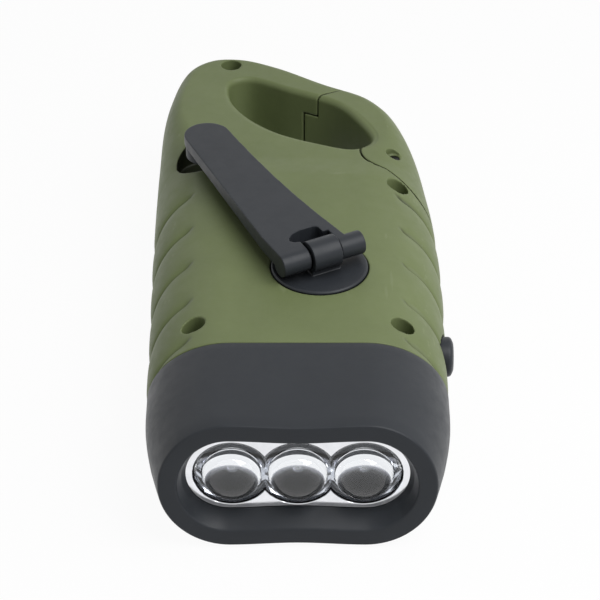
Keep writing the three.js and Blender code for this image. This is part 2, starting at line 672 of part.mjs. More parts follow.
// One clear moulding with three domes.
function lensArray() {
  const front = CUP_FRONT_Y - SEAT - FLANGE;
  const flangeProfile = [
    [0, front],
    [LENS_RIM_RADIUS - 0.4, front],
    [LENS_RIM_RADIUS, front - 0.2],
    [LENS_RIM_RADIUS, front + FLANGE],
    [0, front + FLANGE],
  ];
  const domeProfile = [
    [0, front + 0.2],
    [LENS_RADIUS, front + 0.2],
  ];
  for (let i = 0; i <= 4; i += 1) {
    const t = (Math.PI / 2) * (i / 4);
    domeProfile.push([i === 4 ? 0 : LENS_RADIUS * Math.cos(t), front - LENS_RISE * Math.sin(t)]);
  }
  const flanges = LENS_XS.map((x) => lampTurned(flangeProfile, x, 28));
  const domes = LENS_XS.map((x) => lampTurned(domeProfile, x));
  return union(...flanges, ...domes);
}

function led(x) {
  const back = BOARD_Y - SEAT;
  const profile = [[0, back], [2.9, back], [2.9, back - 0.9], [LED_RADIUS, back - 0.9]];
  const shoulder = back - LED_LENGTH + LED_RADIUS;
  profile.push([LED_RADIUS, shoulder]);
  for (let i = 1; i <= 3; i += 1) {
    const t = (Math.PI / 2) * (i / 3);
    profile.push([i === 3 ? 0 : LED_RADIUS * Math.cos(t), shoulder - LED_RADIUS * Math.sin(t)]);
  }
  return lampTurned(profile, x, 16);
}

const ledBoard = () => {
  const half = LENS_PITCH + 8.2;
  return box(-half, half, BOARD_Y, BOARD_Y + BOARD, MID - 7.5, MID + 7.5);
};

// Crank.
const DISC_TOP = THICKNESS + DISC_PROUD;
const HINGE_Z = DISC_TOP + HINGE_HEIGHT;
const KEY = 3.6;

function crankHub() {
  const bevel = 0.5;
  const low = DISC_TOP - DISC_THICKNESS;
  const disc = turned(
    [
      [0, CRANK_WHEEL_TOP + SEAT],
      [SHAFT_RADIUS, CRANK_WHEEL_TOP + SEAT],
      [SHAFT_RADIUS, low],
      [DISC_RADIUS, low],
      [DISC_RADIUS, DISC_TOP - bevel],
      [DISC_RADIUS - bevel, DISC_TOP],
      [0, DISC_TOP],
    ],
    28,
  );
  const key = box(-KEY / 2, KEY / 2, -KEY / 2, KEY / 2, CRANK_WHEEL, CRANK_WHEEL_TOP + 1);
  const w = LUG_HALF_WIDTH;
  const lug = union(
    atHinge(box(-w, w, -NECK_FRONT, NECK_BACK, DISC_TOP - 1, HINGE_Z)),
    barrel(-w, w, LUG_RADIUS, 20),
  );
  const hole = post(0, 0, 0.9 + RUN, CRANK_WHEEL - 1, CRANK_WHEEL_TOP + 3);
  return cut(union(disc, key, lug), barrel(-w - 1, w + 1, HINGE_PIN_RADIUS + RUN, 16), hole);
}

// Moves a solid drawn about the middle of the hinge into the crank's own frame.
const atHinge = (manifold) => manifold.translate([0, -HINGE_BACK, 0]);

// A cylinder along the hinge.
function barrel(x0, x1, radius, sides) {
  const geometry = new THREE.CylinderGeometry(radius, radius, x1 - x0, sides);
  return atHinge(solid(geometry.rotateZ(Math.PI / 2).translate((x0 + x1) / 2, 0, HINGE_Z)));
}

// The arm's top and underside heights along its length.
const armTop = (y) => HINGE_Z + THREE.MathUtils.lerp(BARREL_RADIUS, 1.75, blendLinear(y, 3, 54));
const armLow = (y) => HINGE_Z + THREE.MathUtils.lerp(-1, -0.55, blendLinear(y, 3, 54));
function blendLinear(value, from, to) {
  return THREE.MathUtils.clamp((value - from) / (to - from), 0, 1);
}

// The plate leans to the left of the hinge. Its right edge is drawn in, and the right barrel stands
// out beside it.
function crankArm() {
  const shape = new THREE.Shape();
  const tipRight = TIP_RADIUS - TIP_SIDE;
  shape.moveTo(-ARM_LEFT, 0);
  shape.lineTo(ARM_RIGHT, 0);
  const [near, far] = [0.24 * ARM_LENGTH, 0.49 * ARM_LENGTH];
  shape.bezierCurveTo(ARM_RIGHT - 1.3, near, tipRight - 1.05, far, tipRight, ARM_LENGTH);
  shape.absarc(-TIP_SIDE, ARM_LENGTH, TIP_RADIUS, 0, Math.PI - 0.09, false);
  shape.lineTo(-ARM_LEFT + 0.1, 0.15 * ARM_LENGTH);
  shape.closePath();
  const bevel = 0.4;
  const geometry = new THREE.ExtrudeGeometry(shape, {
    depth: 1 - 2 * bevel,
    bevelEnabled: true,
    bevelThickness: bevel,
    bevelSize: bevel,
    bevelOffset: -bevel,
    bevelSegments: 1,
    curveSegments: 10,
    steps: 1,
  });
  const position = geometry.attributes.position;
  for (let i = 0; i < position.count; i += 1) {
    const [y, share] = [position.getY(i), position.getZ(i) + bevel];
    const [low, high] = [armLow(y), armTop(y)];
    const z = share < 0.5 ? low + share : high - (1 - share);
    position.setZ(i, z);
  }
  const fork = LUG_HALF_WIDTH + 0.35;
  const reach = Math.hypot(NECK_BACK, HINGE_HEIGHT) + 0.3;
  const [low, high] = [HINGE_Z - 6, HINGE_Z + 6];
  const plate = union(atHinge(solid(geometry)), barrel(-BARREL_LEFT, BARREL_RIGHT, BARREL_RADIUS, 20));
  return cut(
    plate,
    atHinge(box(-fork, fork, -reach, reach, low, high)),
    atHinge(raised(armSlot(), low, high)),
    barrel(-BARREL_LEFT + 1, BARREL_RIGHT + 1, HINGE_PIN_RADIUS + 0.02, 16),
    atHinge(post(-TIP_SIDE, ARM_LENGTH, KNOB_PIN_RADIUS + 0.02, low, armLow(ARM_LENGTH) + 1.4)),
  );
}

// The opening behind the lug, its corners rounded.
function armSlot() {
  const [left, right, back] = [-LUG_HALF_WIDTH - 2.1, LUG_HALF_WIDTH - 0.9, 0.128 * ARM_LENGTH];
  return [
    [left, 1],
    [right, 1],
    [right, back - 1],
    [right - 0.3, back - 0.3],
    [right - 1, back],
    [left + 1, back],
    [left + 0.3, back - 0.3],
    [left, back - 1],
  ];
}

const hingePin = () => barrel(-BARREL_LEFT + 1.1, BARREL_RIGHT - 0.4, HINGE_PIN_RADIUS, 16);

const KNOB_TOP = armLow(ARM_LENGTH) - 0.25;
function knob() {
  const low = KNOB_TOP - KNOB_HEIGHT;
  const profile = [
    [KNOB_PIN_RADIUS + RUN, KNOB_TOP],
    [KNOB_PIN_RADIUS + RUN, low + 1],
    [2.3, low + 1],
    [2.3, low],
    [KNOB_RADIUS - 0.7, low],
    [KNOB_RADIUS, low + 0.7],
    [KNOB_RADIUS, KNOB_TOP - 0.4],
    [KNOB_RADIUS - 0.4, KNOB_TOP],
    [KNOB_PIN_RADIUS + RUN, KNOB_TOP],
  ];
  return atHinge(turned(profile, 20).translate([-TIP_SIDE, ARM_LENGTH, 0]));
}

function knobPin() {
  const low = KNOB_TOP - KNOB_HEIGHT;
  const profile = [
    [0, low + 0.1],
    [2.1, low + 0.1],
    [2.1, low + 0.9],
    [KNOB_PIN_RADIUS, low + 0.9],
    [KNOB_PIN_RADIUS, armLow(ARM_LENGTH) + 1.3],
    [0, armLow(ARM_LENGTH) + 1.3],
  ];
  return atHinge(turned(profile, 16).translate([-TIP_SIDE, ARM_LENGTH, 0]));
}

// Gears. A tooth lies at the phase angle; gap puts a gap there instead.
function gear(x, y, teeth, phase, z0, z1, gap = false) {
  const pitch = (MODULE * teeth) / 2;
  const rows = [
    [pitch - 1.2 * MODULE, 0.28],
    [pitch + 0.85 * MODULE, 0.1],
  ];
  const points = [];
  for (let tooth = 0; tooth < teeth; tooth += 1) {
    const centre = rad(phase) + ((tooth + (gap ? 0.5 : 0)) * 2 * Math.PI) / teeth;
    const flank = (sign) => ([radius, share]) => {
      const turn = centre + (sign * share * 2 * Math.PI) / teeth;
      return [x + radius * Math.cos(turn), y + radius * Math.sin(turn)];
    };
    points.push(...rows.map(flank(-1)), ...rows.slice().reverse().map(flank(1)));
  }
  return raised(points, z0, z1);
}

function crankGear() {
  const wheel = gear(CRANK_X, CRANK_Y, CRANK_TEETH, SECOND_ANGLE, CRANK_WHEEL, CRANK_WHEEL_TOP);
  const key = KEY / 2 + 0.06;
  const square = raised(
    [45, 135, 225, 315].map((turn) => along(0, 0, key * Math.SQRT2, turn + ARM_ANGLE - 90)),
    CRANK_WHEEL - 1,
    CRANK_WHEEL_TOP + 1,
  );
  return cut(wheel, square.translate([CRANK_X, CRANK_Y, 0]));
}

function hubWasher() {
  const top = CRANK_WHEEL - SEAT;
  const ring = post(CRANK_X, CRANK_Y, 3.6, top - 0.5, top);
  return cut(ring, post(CRANK_X, CRANK_Y, 1.1, 0, 30));
}

function screw(x, y, headLow, headRadius, headHeight, length, shankRadius) {
  const head = post(x, y, headRadius, headLow, headLow + headHeight, 14);
  const shank = post(x, y, shankRadius, headLow - length, headLow + 0.2, 10);
  return { head, shank };
}

function driveCross(x, y, z, size) {
  const thin = size * 0.18;
  return union(
    box(x - size, x + size, y - thin, y + thin, z - 0.7, z + 1),
    box(x - thin, x + thin, y - size, y + size, z - 0.7, z + 1),
  );
}

// The hub screw enters from below, so its head is under the washer.
function hubScrew() {
  const seat = CRANK_WHEEL - 2 * SEAT - 0.5;
  const head = post(CRANK_X, CRANK_Y, 2, seat - 1, seat);
  return union(head, post(CRANK_X, CRANK_Y, 0.9, seat - 0.2, CRANK_WHEEL_TOP + 2));
}

// A wheel from low upwards with its pinion over it.
function compoundGear({ x, y, teeth, drives, drivenFrom, low, pinionTop }) {
  const wheel = gear(x, y, teeth, drives, low, low + WHEEL);
  const pinionPhase = drivenFrom + 180;
  const pinion = gear(x, y, PINION_TEETH, pinionPhase, low + WHEEL - 0.2, pinionTop, true);
  const collar = post(x, y, 1.9, low - 0.4, low + 0.2);
  return cut(union(wheel, pinion, collar), post(x, y, SPINDLE_RADIUS + RUN, 0, THICKNESS));
}

const secondGear = () =>
  compoundGear({
    x: SECOND_X,
    y: SECOND_Y,
    teeth: SECOND_TEETH,
    drives: THIRD_ANGLE,
    drivenFrom: SECOND_ANGLE,
    low: SECOND_WHEEL,
    pinionTop: CRANK_WHEEL_TOP + 0.3,
  });
const thirdGear = () =>
  compoundGear({
    x: THIRD_X,
    y: THIRD_Y,
    teeth: THIRD_TEETH,
    drives: ROTOR_ANGLE,
    drivenFrom: THIRD_ANGLE,
    low: THIRD_WHEEL,
    pinionTop: SECOND_WHEEL + WHEEL + 0.3,
  });
const secondSpindle = () =>
  post(SECOND_X, SECOND_Y, SPINDLE_RADIUS, PLATE_LOW + SEAT, ROOF - 0.3);
const thirdSpindle = () =>
  post(THIRD_X, THIRD_Y, SPINDLE_RADIUS, PLATE_LOW + SEAT, CRANK_WHEEL - 0.3);

const ROTOR_PIN_RADIUS = 0.75;
const MAGNET_BORE = 2.15;
const rotorPin = (grow, low, high) => post(ROTOR_X, ROTOR_Y, ROTOR_PIN_RADIUS + grow, low, high);
function rotorPinion() {
  const [top, phase] = [THIRD_WHEEL + WHEEL + 0.3, ROTOR_ANGLE + 180];
  const sleeve = post(ROTOR_X, ROTOR_Y, MAGNET_BORE - 0.05, FLOOR + 1.2, THIRD_WHEEL - 0.2);
  const pinion = gear(ROTOR_X, ROTOR_Y, PINION_TEETH, phase, THIRD_WHEEL - 0.3, top, true);
  return cut(union(sleeve, pinion), rotorPin(RUN, 0, THICKNESS));
}

function rotorMagnet() {
  const ring = post(ROTOR_X, ROTOR_Y, ROTOR_RADIUS, FLOOR + 1.4, PLATE_LOW - 0.6);
  return cut(ring, post(ROTOR_X, ROTOR_Y, MAGNET_BORE, 0, THICKNESS));
}

const rotorSpindle = () => rotorPin(0, FLOOR, THIRD_WHEEL + WHEEL + 1.2);

// Stator: a channel open outwards with the coil wound in it.
function statorCore() {
  const [low, high] = [FLOOR + 0.9, PLATE_LOW - 0.5];
  const profile = [
    [ROTOR_RADIUS + 0.5, low],
    [STATOR_RADIUS, low],
    [STATOR_RADIUS, low + 0.8],
    [ROTOR_RADIUS + 1.6, low + 0.8],
    [ROTOR_RADIUS + 1.6, high - 0.8],
    [STATOR_RADIUS, high - 0.8],
    [STATOR_RADIUS, high],
    [ROTOR_RADIUS + 0.5, high],
    [ROTOR_RADIUS + 0.5, low],
  ];
  return turned(profile, 28).translate([ROTOR_X, ROTOR_Y, 0]);
}

function statorCoil() {
  const [low, high] = [FLOOR + 1.8, PLATE_LOW - 1.4];
  const profile = [
    [ROTOR_RADIUS + 1.7, low],
    [STATOR_RADIUS - 0.5, low],
    [STATOR_RADIUS - 0.3, low + 0.4],
    [STATOR_RADIUS - 0.3, high - 0.4],
    [STATOR_RADIUS - 0.5, high],
    [ROTOR_RADIUS + 1.7, high],
    [ROTOR_RADIUS + 1.7, low],
  ];
  return turned(profile, 28).translate([ROTOR_X, ROTOR_Y, 0]);
}

// The plate that carries the lower ends of the spindles, over the generator.
function gearFrame() {
  const plate = raised(
    [
      [-0.774, SECOND_Y],
      [-0.205, SECOND_Y - 4.5],
      [0.205, SECOND_Y + 6],
      [0.637, THIRD_Y - 0.5],
      [0.637, THIRD_Y + 7.5],
      [0.541, ROTOR_Y + 14.1],
      [0.308, ROTOR_Y + 14.1],
      [-0.411, ROTOR_Y + 9],
      [-0.774, THIRD_Y + 1.5],
    ].map(([share, y]) => [share * HALF_WIDTH, y]),
    PLATE_LOW,
    PLATE_TOP,
  );
  const seats = [
    [SECOND_X, SECOND_Y, SECOND_WHEEL - 0.5],
    [THIRD_X, THIRD_Y, THIRD_WHEEL - 0.5],
  ].map(([x, y, top]) => post(x, y, 2.2, PLATE_LOW, top));
  const holes = [
    post(SECOND_X, SECOND_Y, SPINDLE_RADIUS + 0.01, PLATE_LOW + 0.1 - SEAT, 30),
    post(THIRD_X, THIRD_Y, SPINDLE_RADIUS + 0.01, PLATE_LOW + 0.1 - SEAT, 30),
    post(ROTOR_X, ROTOR_Y, 2.6, 0, 30),
    ...FRAME_POSTS.map(([x, y]) => post(x, y, 1.1, 0, 30)),
  ];
  return cut(union(plate, ...seats), ...holes);
}

const frameScrew = ([x, y]) => {
  const { head, shank } = screw(x, y, PLATE_TOP + SEAT, 1.7, 0.9, 5, 0.9);
  return cut(union(head, shank), driveCross(x, y, PLATE_TOP + SEAT + 0.9, 0.9));
};

// Electronics. The charging board is drawn from its own corner.
const CHARGER_X = 2.5;
const CHARGER_Y = SEAM_Y + 3.5;
const CHARGER_WIDTH = 13;
const CHARGER_LENGTH = 20.5;
const CHARGER_RAISE = 1.4;
function circuitBoard() {
  const parts = union(
    box(0, CHARGER_WIDTH, 0, CHARGER_LENGTH, 0, BOARD),
    box(2.5, 7, 4.5, 9, BOARD - 0.1, BOARD + 1.2),
    box(8, 11, 11.5, 13.5, BOARD - 0.1, BOARD + 0.9),
    post(9.9, 4.5, 2, BOARD - 0.1, BOARD + 3.6),
    box(1.5, 4.5, 14, 17, BOARD - 0.1, BOARD + 1),
  );
  return parts.translate([CHARGER_X, CHARGER_Y, FLOOR + CHARGER_RAISE + SEAT]);
}

const SWITCH_X = HALF_WIDTH - 5.4; // the switch's outer face
const SWITCH_HALF = 3.3;
const PLUNGER_X = SWITCH_X + 1.05;
function switchBody() {
  const [low, high] = [MID - SWITCH_HALF, MID + SWITCH_HALF];
  const body = box(SWITCH_X - 6.6, SWITCH_X, BUTTON_Y - 3.1, BUTTON_Y + 3.1, low, high);
  return cut(body, sidePost(SWITCH_X - 3.2, SWITCH_X + 1.2, 1.7, 16));
}

const switchPlunger = () => sidePost(SWITCH_X - 1.8, PLUNGER_X, 1.6, 16);

// A cylinder along x through the button's axis.
function sidePost(x0, x1, radius, sides) {
  const geometry = new THREE.CylinderGeometry(radius, radius, x1 - x0, sides);
  return solid(geometry.rotateZ(Math.PI / 2).translate((x0 + x1) / 2, BUTTON_Y, MID));
}

const buttonHole = () =>
  union(
    sidePost(SWITCH_X, BUTTON_FACE + 10, BUTTON_RADIUS + FIT, 20),
    sidePost(SWITCH_X - 4, BUTTON_FACE - 1.9, BUTTON_RADIUS + 1.3, 20),
  );

const BUTTON_FACE = outlineAt(fractionAt(BUTTON_Y, 1)).point.x;
function sideButton() {
  const profile = [
    [0, PLUNGER_X + SEAT],
    [1.5, PLUNGER_X + SEAT],
    [1.5, BUTTON_FACE - 4],
    [BUTTON_RADIUS + 0.9, BUTTON_FACE - 4],
    [BUTTON_RADIUS + 0.9, BUTTON_FACE - 2.3],
    [BUTTON_RADIUS, BUTTON_FACE - 2.3],
  ];
  for (let i = 0; i <= 3; i += 1) {
    const t = (Math.PI / 2) * (i / 3);
    const radius = i === 3 ? 0 : BUTTON_RADIUS - 1 + Math.cos(t) - 2 * (1 - Math.cos(t));
    profile.push([Math.max(radius, 0), BUTTON_FACE + BUTTON_PROUD * (0.3 + 0.7 * Math.sin(t))]);
  }
  const points = profile.map(([r, x]) => new THREE.Vector2(r, x));
  const geometry = new THREE.LatheGeometry(points, 20).rotateZ(-Math.PI / 2);
  return solid(geometry.translate(0, BUTTON_Y, MID));
}

// Gate: the part of the case's form inside its plan, forked round the tongue.
function gate() {
  const form = union(caseHalf(1, 0, true), caseHalf(-1, 0, true));
  const blank = form.intersect(gateRoom(0));
  const [low, high] = [TONGUE_LOW - 0.3, TONGUE_HIGH + 0.3];
  const slot = union(
    post(PIVOT_X, PIVOT_Y, TONGUE_RADIUS + 0.4, low, high),
    raised(
      [
        [PIVOT_X, PIVOT_Y],
        ...[158, 180, 205, 230, 248].map((turn) => along(PIVOT_X, PIVOT_Y, KNUCKLE_RADIUS + 2, turn)),
      ],
      low,
      high,
    ),
  );
  const pinHole = post(PIVOT_X, PIVOT_Y, GATE_PIN_RADIUS + RUN, 4, caseTop(PIVOT_Y) - 2);
  const dimple = post(PIVOT_X, PIVOT_Y, 1.7, caseTop(PIVOT_Y) - 2.2, THICKNESS + 1);
  return cut(blank, loopHoleCutter(), slot, pinHole, dimple);
}

const gatePin = () => post(PIVOT_X, PIVOT_Y, GATE_PIN_RADIUS, 4.2, caseTop(PIVOT_Y) - 2.4);

function caseScrew({ x, y }) {
  const seat = MID + 4.5 + SEAT;
  const { head, shank } = screw(x, y, seat, SCREW_HEAD_RADIUS, 1.4, 12.5, SCREW_RADIUS);
  return cut(union(head, shank), driveCross(x, y, seat + 1.4, 1.1));
}

// Assembly.
const olive = { color: 0x6d7550, roughness: 0.55, metalness: 0 };
const black = { color: 0x3a3d40, roughness: 0.5, metalness: 0 };
const steel = { color: 0xb8bcc2, roughness: 0.3, metalness: 1 };
const chrome = { color: 0xe4e6ea, roughness: 0.08, metalness: 1 };
const clear = { color: 0xe8eef4, roughness: 0.05, metalness: 0, transparent: true, opacity: 0.5 };
const nylon = { color: 0xe9e6dc, roughness: 0.5, metalness: 0 };
const board = { color: 0x2f6b3c, roughness: 0.6, metalness: 0 };
const copper = { color: 0xb5713c, roughness: 0.35, metalness: 1 };
const magnet = { color: 0x4b4d50, roughness: 0.45, metalness: 0.4 };
const cell = { color: 0x2d5f9e, roughness: 0.4, metalness: 0 };

function piece(name, manifold, look) {
  const mesh = new THREE.Mesh(geometryOf(manifold), new THREE.MeshStandardMaterial(look));
  mesh.name = name;
  return mesh;
}

const crank = new THREE.Group();
crank.position.set(CRANK_X, CRANK_Y, 0);
crank.rotation.z = rad(ARM_ANGLE - 90);
crank.add(
  piece('crank_hub', crankHub(), black),
  piece('crank_arm', crankArm(), black),
  piece('hinge_pin', hingePin(), steel),
  piece('crank_knob', knob(), black),
  piece('knob_pin', knobPin(), steel),
);

const works = new THREE.Group();
works.add(
  piece('crank_gear', crankGear(), nylon),
  piece('hub_washer', hubWasher(), steel),
  piece('hub_screw', hubScrew(), steel),
  piece('second_gear', secondGear(), nylon),
  piece('third_gear', thirdGear(), nylon),
  piece('second_spindle', secondSpindle(), steel),
  piece('third_spindle', thirdSpindle(), steel),
  piece('rotor_pinion', rotorPinion(), nylon),
  piece('rotor_magnet', rotorMagnet(), magnet),
  piece('rotor_spindle', rotorSpindle(), steel),
  piece('stator_core', statorCore(), steel),
  piece('stator_coil', statorCoil(), copper),
  piece('gear_frame', gearFrame(), nylon),
  piece('circuit_board', circuitBoard(), board),
  piece('battery_pack', batteryPack(), cell),
  piece('switch_body', switchBody(), black),
  piece('switch_plunger', switchPlunger(), nylon),
);
FRAME_POSTS.forEach((place, i) => {
  works.add(piece(`frame_screw_${i + 1}`, frameScrew(place), steel));
});

const head = new THREE.Group();
head.add(
  piece('head_bezel', headBezel(), black),
  piece('reflector', reflector(), chrome),
  piece('lens_array', lensArray(), clear),
  piece('led_board', ledBoard(), board),
);
['left', 'centre', 'right'].forEach((side, i) => {
  head.add(piece(`led_${side}`, led(LENS_XS[i]), clear));
});

const flashlight = new THREE.Group();
flashlight.add(
  piece('top_shell', caseShell(1), olive),
  piece('bottom_shell', caseShell(-1), olive),
  piece('loop_gate', gate(), olive),
  piece('gate_pin', gatePin(), steel),
  piece('side_button', sideButton(), black),
  head,
  works,
  crank,
);
SCREWS.forEach((place) => {
  flashlight.add(piece(place.name, caseScrew(place), steel));
});
flashlight.position.y = -LENGTH / 2;

const part = new THREE.Group();
part.add(flashlight);

export default part;
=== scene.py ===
"""Hand crank flashlight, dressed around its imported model.

Shapes are written in the case's own millimetres: x across, y measured from the front of the lamp
head, z up from the flat underside. mesh_piece() moves them into the frame, in metres.
"""
import json
import math

import bpy
import numpy as np
from mathutils import Matrix, Vector


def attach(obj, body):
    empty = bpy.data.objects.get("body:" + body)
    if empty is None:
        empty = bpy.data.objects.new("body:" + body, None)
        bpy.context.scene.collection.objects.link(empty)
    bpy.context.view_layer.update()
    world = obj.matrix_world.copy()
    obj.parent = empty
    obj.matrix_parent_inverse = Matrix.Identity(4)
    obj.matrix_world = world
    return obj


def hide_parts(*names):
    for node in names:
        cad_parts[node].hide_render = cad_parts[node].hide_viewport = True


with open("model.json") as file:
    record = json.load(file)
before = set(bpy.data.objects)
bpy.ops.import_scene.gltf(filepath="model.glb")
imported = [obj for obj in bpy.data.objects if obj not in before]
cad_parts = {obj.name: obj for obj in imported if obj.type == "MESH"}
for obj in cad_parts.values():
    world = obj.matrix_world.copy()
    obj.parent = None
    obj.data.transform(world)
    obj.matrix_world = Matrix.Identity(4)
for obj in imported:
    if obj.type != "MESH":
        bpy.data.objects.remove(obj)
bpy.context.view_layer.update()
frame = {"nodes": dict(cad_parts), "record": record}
NODES = frame["nodes"]

# ---------------------------------------------------------------- driving dimensions, mm, degrees
LENGTH = 143.0
HALF_WIDTH = 29.2
THICKNESS = 29.0
MID = THICKNESS / 2
SEAM_Y = 26.0
EDGE_REACH = 16.5
TAIL_REACH = 5.0
TOP_DIP = 0.7
DIP_Y = 0.636 * LENGTH
DIP_START, DIP_END = DIP_Y - 4, DIP_Y + 5
TAIL_DIP = 0.5
CASE_FRONT_Y = 12.0
TAIL_START_Y = 0.692 * LENGTH
PARTING_ROUND = 0.35
HEAD_WALL = 1.8
WALL_INSET = HEAD_WALL + 0.25 + 1.6
HOLLOW_END_Y = 86.0
FITTINGS_INSET = 2.02
PAST_SIDE, PAST_END = 50.0, 200.0
GROOVE_PITCH = 0.0906 * LENGTH
GROOVE_COUNT = 5
FIRST_GROOVE_Y = SEAM_Y + 1.2
PILLOW_DEPTH = 0.6
CREASE_DEPTH = 0.5
CREASE_WIDTH = 0.5
GROOVE_LEAN = 6.4
GROOVE_REACH = 9.4

CRANK = (4.3, 0.3608 * LENGTH)
ARM_ANGLE = 118.4
DISC_RADIUS = 9.7
DISC_TOP = THICKNESS + 0.4
DISC_THICKNESS = 1.8
DISC_GAP = 0.14
SHAFT_RADIUS = 3.0
GEAR_TOP = 22.6
HINGE_Z = DISC_TOP + 3.35
HINGE_BACK = 0.9
LUG_RADIUS = 3.2
LUG_HALF_WIDTH = 3.1
NECK_FRONT, NECK_BACK = 2.0, 1.0
BARREL_RADIUS = 2.4
BARREL_LEFT, BARREL_RIGHT = 9.5, 8.8
ARM_LENGTH = 49.2
ARM_LEFT, ARM_RIGHT = 9.5, 5.6
TIP_SIDE = 0.8
TIP_RADIUS = 4.85
HINGE_PIN_RADIUS = 1.1
KNOB_RADIUS = 4.6
KNOB_HEIGHT = 2.65
KNOB_PIN_RADIUS = 1.3
TURNING_PLAY = 0.06
FIXED_PLAY = 0.02
STOW_RADIUS = 6.5
STOW_AHEAD = 2.1
STOW_DEPTH = 7.0

BUTTON_Y = 41.0
BUTTON_RADIUS = 4.0
BUTTON_PROUD = 1.5
BUTTON_GAP = 0.25
PLUNGER_END_X = HALF_WIDTH - 5.4 + 1.15

PIVOT = (HALF_WIDTH - 8.6, 0.6825 * LENGTH)
GATE_NOSE = (0.1575 * HALF_WIDTH, 0.8476 * LENGTH)
KNUCKLE_RADIUS = 7.0
TONGUE_RADIUS = 4.2
TONGUE_HALF = 4.5
GATE_GAP = 0.35
GATE_BORE_RADIUS = 1.31
GATE_PIN_HEAD_RADIUS = 1.7
NOSE_LAP = 3.2
NOSE_LAP_HALF = 8.0
LOOP_ROUND = 1.6

SCREWS = [
    (-0.6918 * HALF_WIDTH, SEAM_Y + 0.0545 * LENGTH),
    (0.6918 * HALF_WIDTH, SEAM_Y + 0.0545 * LENGTH),
    (0.7192 * HALF_WIDTH, 0.5958 * LENGTH),
    (-0.5274 * HALF_WIDTH, 0.9497 * LENGTH),
]
SCREW_HOLE_RADIUS = 2.3
SCREW_SEAT_Z = MID + 4.5

LENS_PITCH = 12.3
LENS_XS = (-LENS_PITCH, 0.0, LENS_PITCH)
LENS_RADIUS = 5.5
LENS_RIM_RADIUS = 7.05
LENS_SEAT_RADIUS = 7.25
LENS_RISE = 4.2
WINDOW_W, WINDOW_H = 20.9, 8.2
WINDOW_Y = 3.2
BEVEL_Y = 3.1
TOP_SET_BACK = 1.0
LIP = 1.1
WAIST = 0.5
CUP_DEPTH = 7.2
CUP_MOUTH_RADIUS = 5.3
PLATE_Y = WINDOW_Y + LIP + 0.1
CUP_FRONT_Y = PLATE_Y + 1.1
FLANGE_FRONT_Y = CUP_FRONT_Y - 0.1 - 0.8
LED_RADIUS = 2.45
BOARD_Y = CUP_FRONT_Y + CUP_DEPTH + 1.7

VOXEL = 0.22


def along(place, distance, degrees):
    turn = math.radians(degrees)
    return (place[0] + distance * math.cos(turn), place[1] + distance * math.sin(turn))


STOW_PLACE = along(CRANK, ARM_LENGTH - HINGE_BACK + STOW_AHEAD, ARM_ANGLE)


def smoothstep(value, low, high):
    t = np.clip((np.asarray(value, float) - low) / (high - low), 0, 1)
    return t * t * (3 - 2 * t)


# ---------------------------------------------------------------- mesh helpers
def mesh_piece(name, verts, faces):
    """An object from points in the case's millimetres."""
    points = np.asarray(verts, float) - (0, LENGTH / 2, 0)
    mesh = bpy.data.meshes.new(name)
    mesh.from_pydata((points * 0.001).tolist(), [], faces)
    mesh.update()
    obj = bpy.data.objects.new(name, mesh)
    bpy.context.scene.collection.objects.link(obj)
    return obj


def skin(name, rings, closed=False):
    """A closed skin through rings of equal count. The ends are closed by ladders of faces between
    a ring's two sides, or the last ring joins the first one."""
    rings = np.asarray(rings, float)
    total, count = rings.shape[:2]
    faces = []
    for k in range(total if closed else total - 1):
        low, high = k * count, (k + 1) % total * count
        for i in range(count):
            j = (i + 1) % count
            faces.append((low + i, low + j, high + j, high + i))
    if not closed:
        for start, flip in ((0, True), ((total - 1) * count, False)):
            for i in range((count - 1) // 2):
                rung = (start + i, start + i + 1, start + count - 2 - i, start + count - 1 - i)
                corners = tuple(dict.fromkeys(rung))
                faces.append(corners[::-1] if flip else corners)
    obj = mesh_piece(name, rings.reshape(-1, 3), faces)
    outward(obj)
    return obj


def outward(obj):
    """Turns a closed mesh's faces outwards, by the sign of its volume."""
    mesh = obj.data
    mesh.calc_loop_triangles()
    points = np.array([v.co for v in mesh.vertices])
    a, b, c = (points[[t.vertices[i] for t in mesh.loop_triangles]] for i in range(3))
    if np.einsum("ij,ij->i", a, np.cross(b, c)).sum() < 0:
        mesh.flip_normals()


def turned(name, profile, place, axis="Z", sides=72):
    """A closed profile of (radius, height) pairs turned about an axis through place."""
    profile = np.asarray(profile, float)
    turn = np.linspace(0, 2 * math.pi, sides, endpoint=False)
    verts, faces, rows = [], [], []
    for radius, height in profile:
        start = len(verts)
        if radius < 1e-9:
            verts.append((0, 0, height))
            rows.append([start] * sides)
        else:
            verts += [(radius * math.cos(t), radius * math.sin(t), height) for t in turn]
            rows.append(list(range(start, start + sides)))
    on_axis = profile[0][0] < 1e-9 and profile[-1][0] < 1e-9
    pairs = list(zip(rows, rows[1:])) + ([] if on_axis else [(rows[-1], rows[0])])
    for low, high in pairs:
        for i in range(sides):
            j = (i + 1) % sides
            corners = tuple(dict.fromkeys((low[i], low[j], high[j], high[i])))
            if len(corners) > 2:
                faces.append(corners)
    points = np.array(verts)
    if axis == "X":
        points = points[:, [2, 0, 1]]
    elif axis == "Y":
        points = points[:, [0, 2, 1]]
    obj = mesh_piece(name, points + place, faces)
    outward(obj)
    return obj


def post(x, y, radius, z0, z1, sides=64):
    return turned("post", [(0, z0), (radius, z0), (radius, z1), (0, z1)], (x, y, 0), sides=sides)


def side_post(x0, x1, radius):
    """A cylinder along x on the push button's axis."""
    profile = [(0, x0), (radius, x0), (radius, x1), (0, x1)]
    return turned("post", profile, (0, BUTTON_Y, MID), "X", 64)


def block(x0, x1, y0, y1, z0, z1):
    ring = [(x0, y0), (x1, y0), (x1, y1), (x0, y1)]
    return skin("block", [[(x, y, z) for x, y in ring] for z in (z0, z1)])


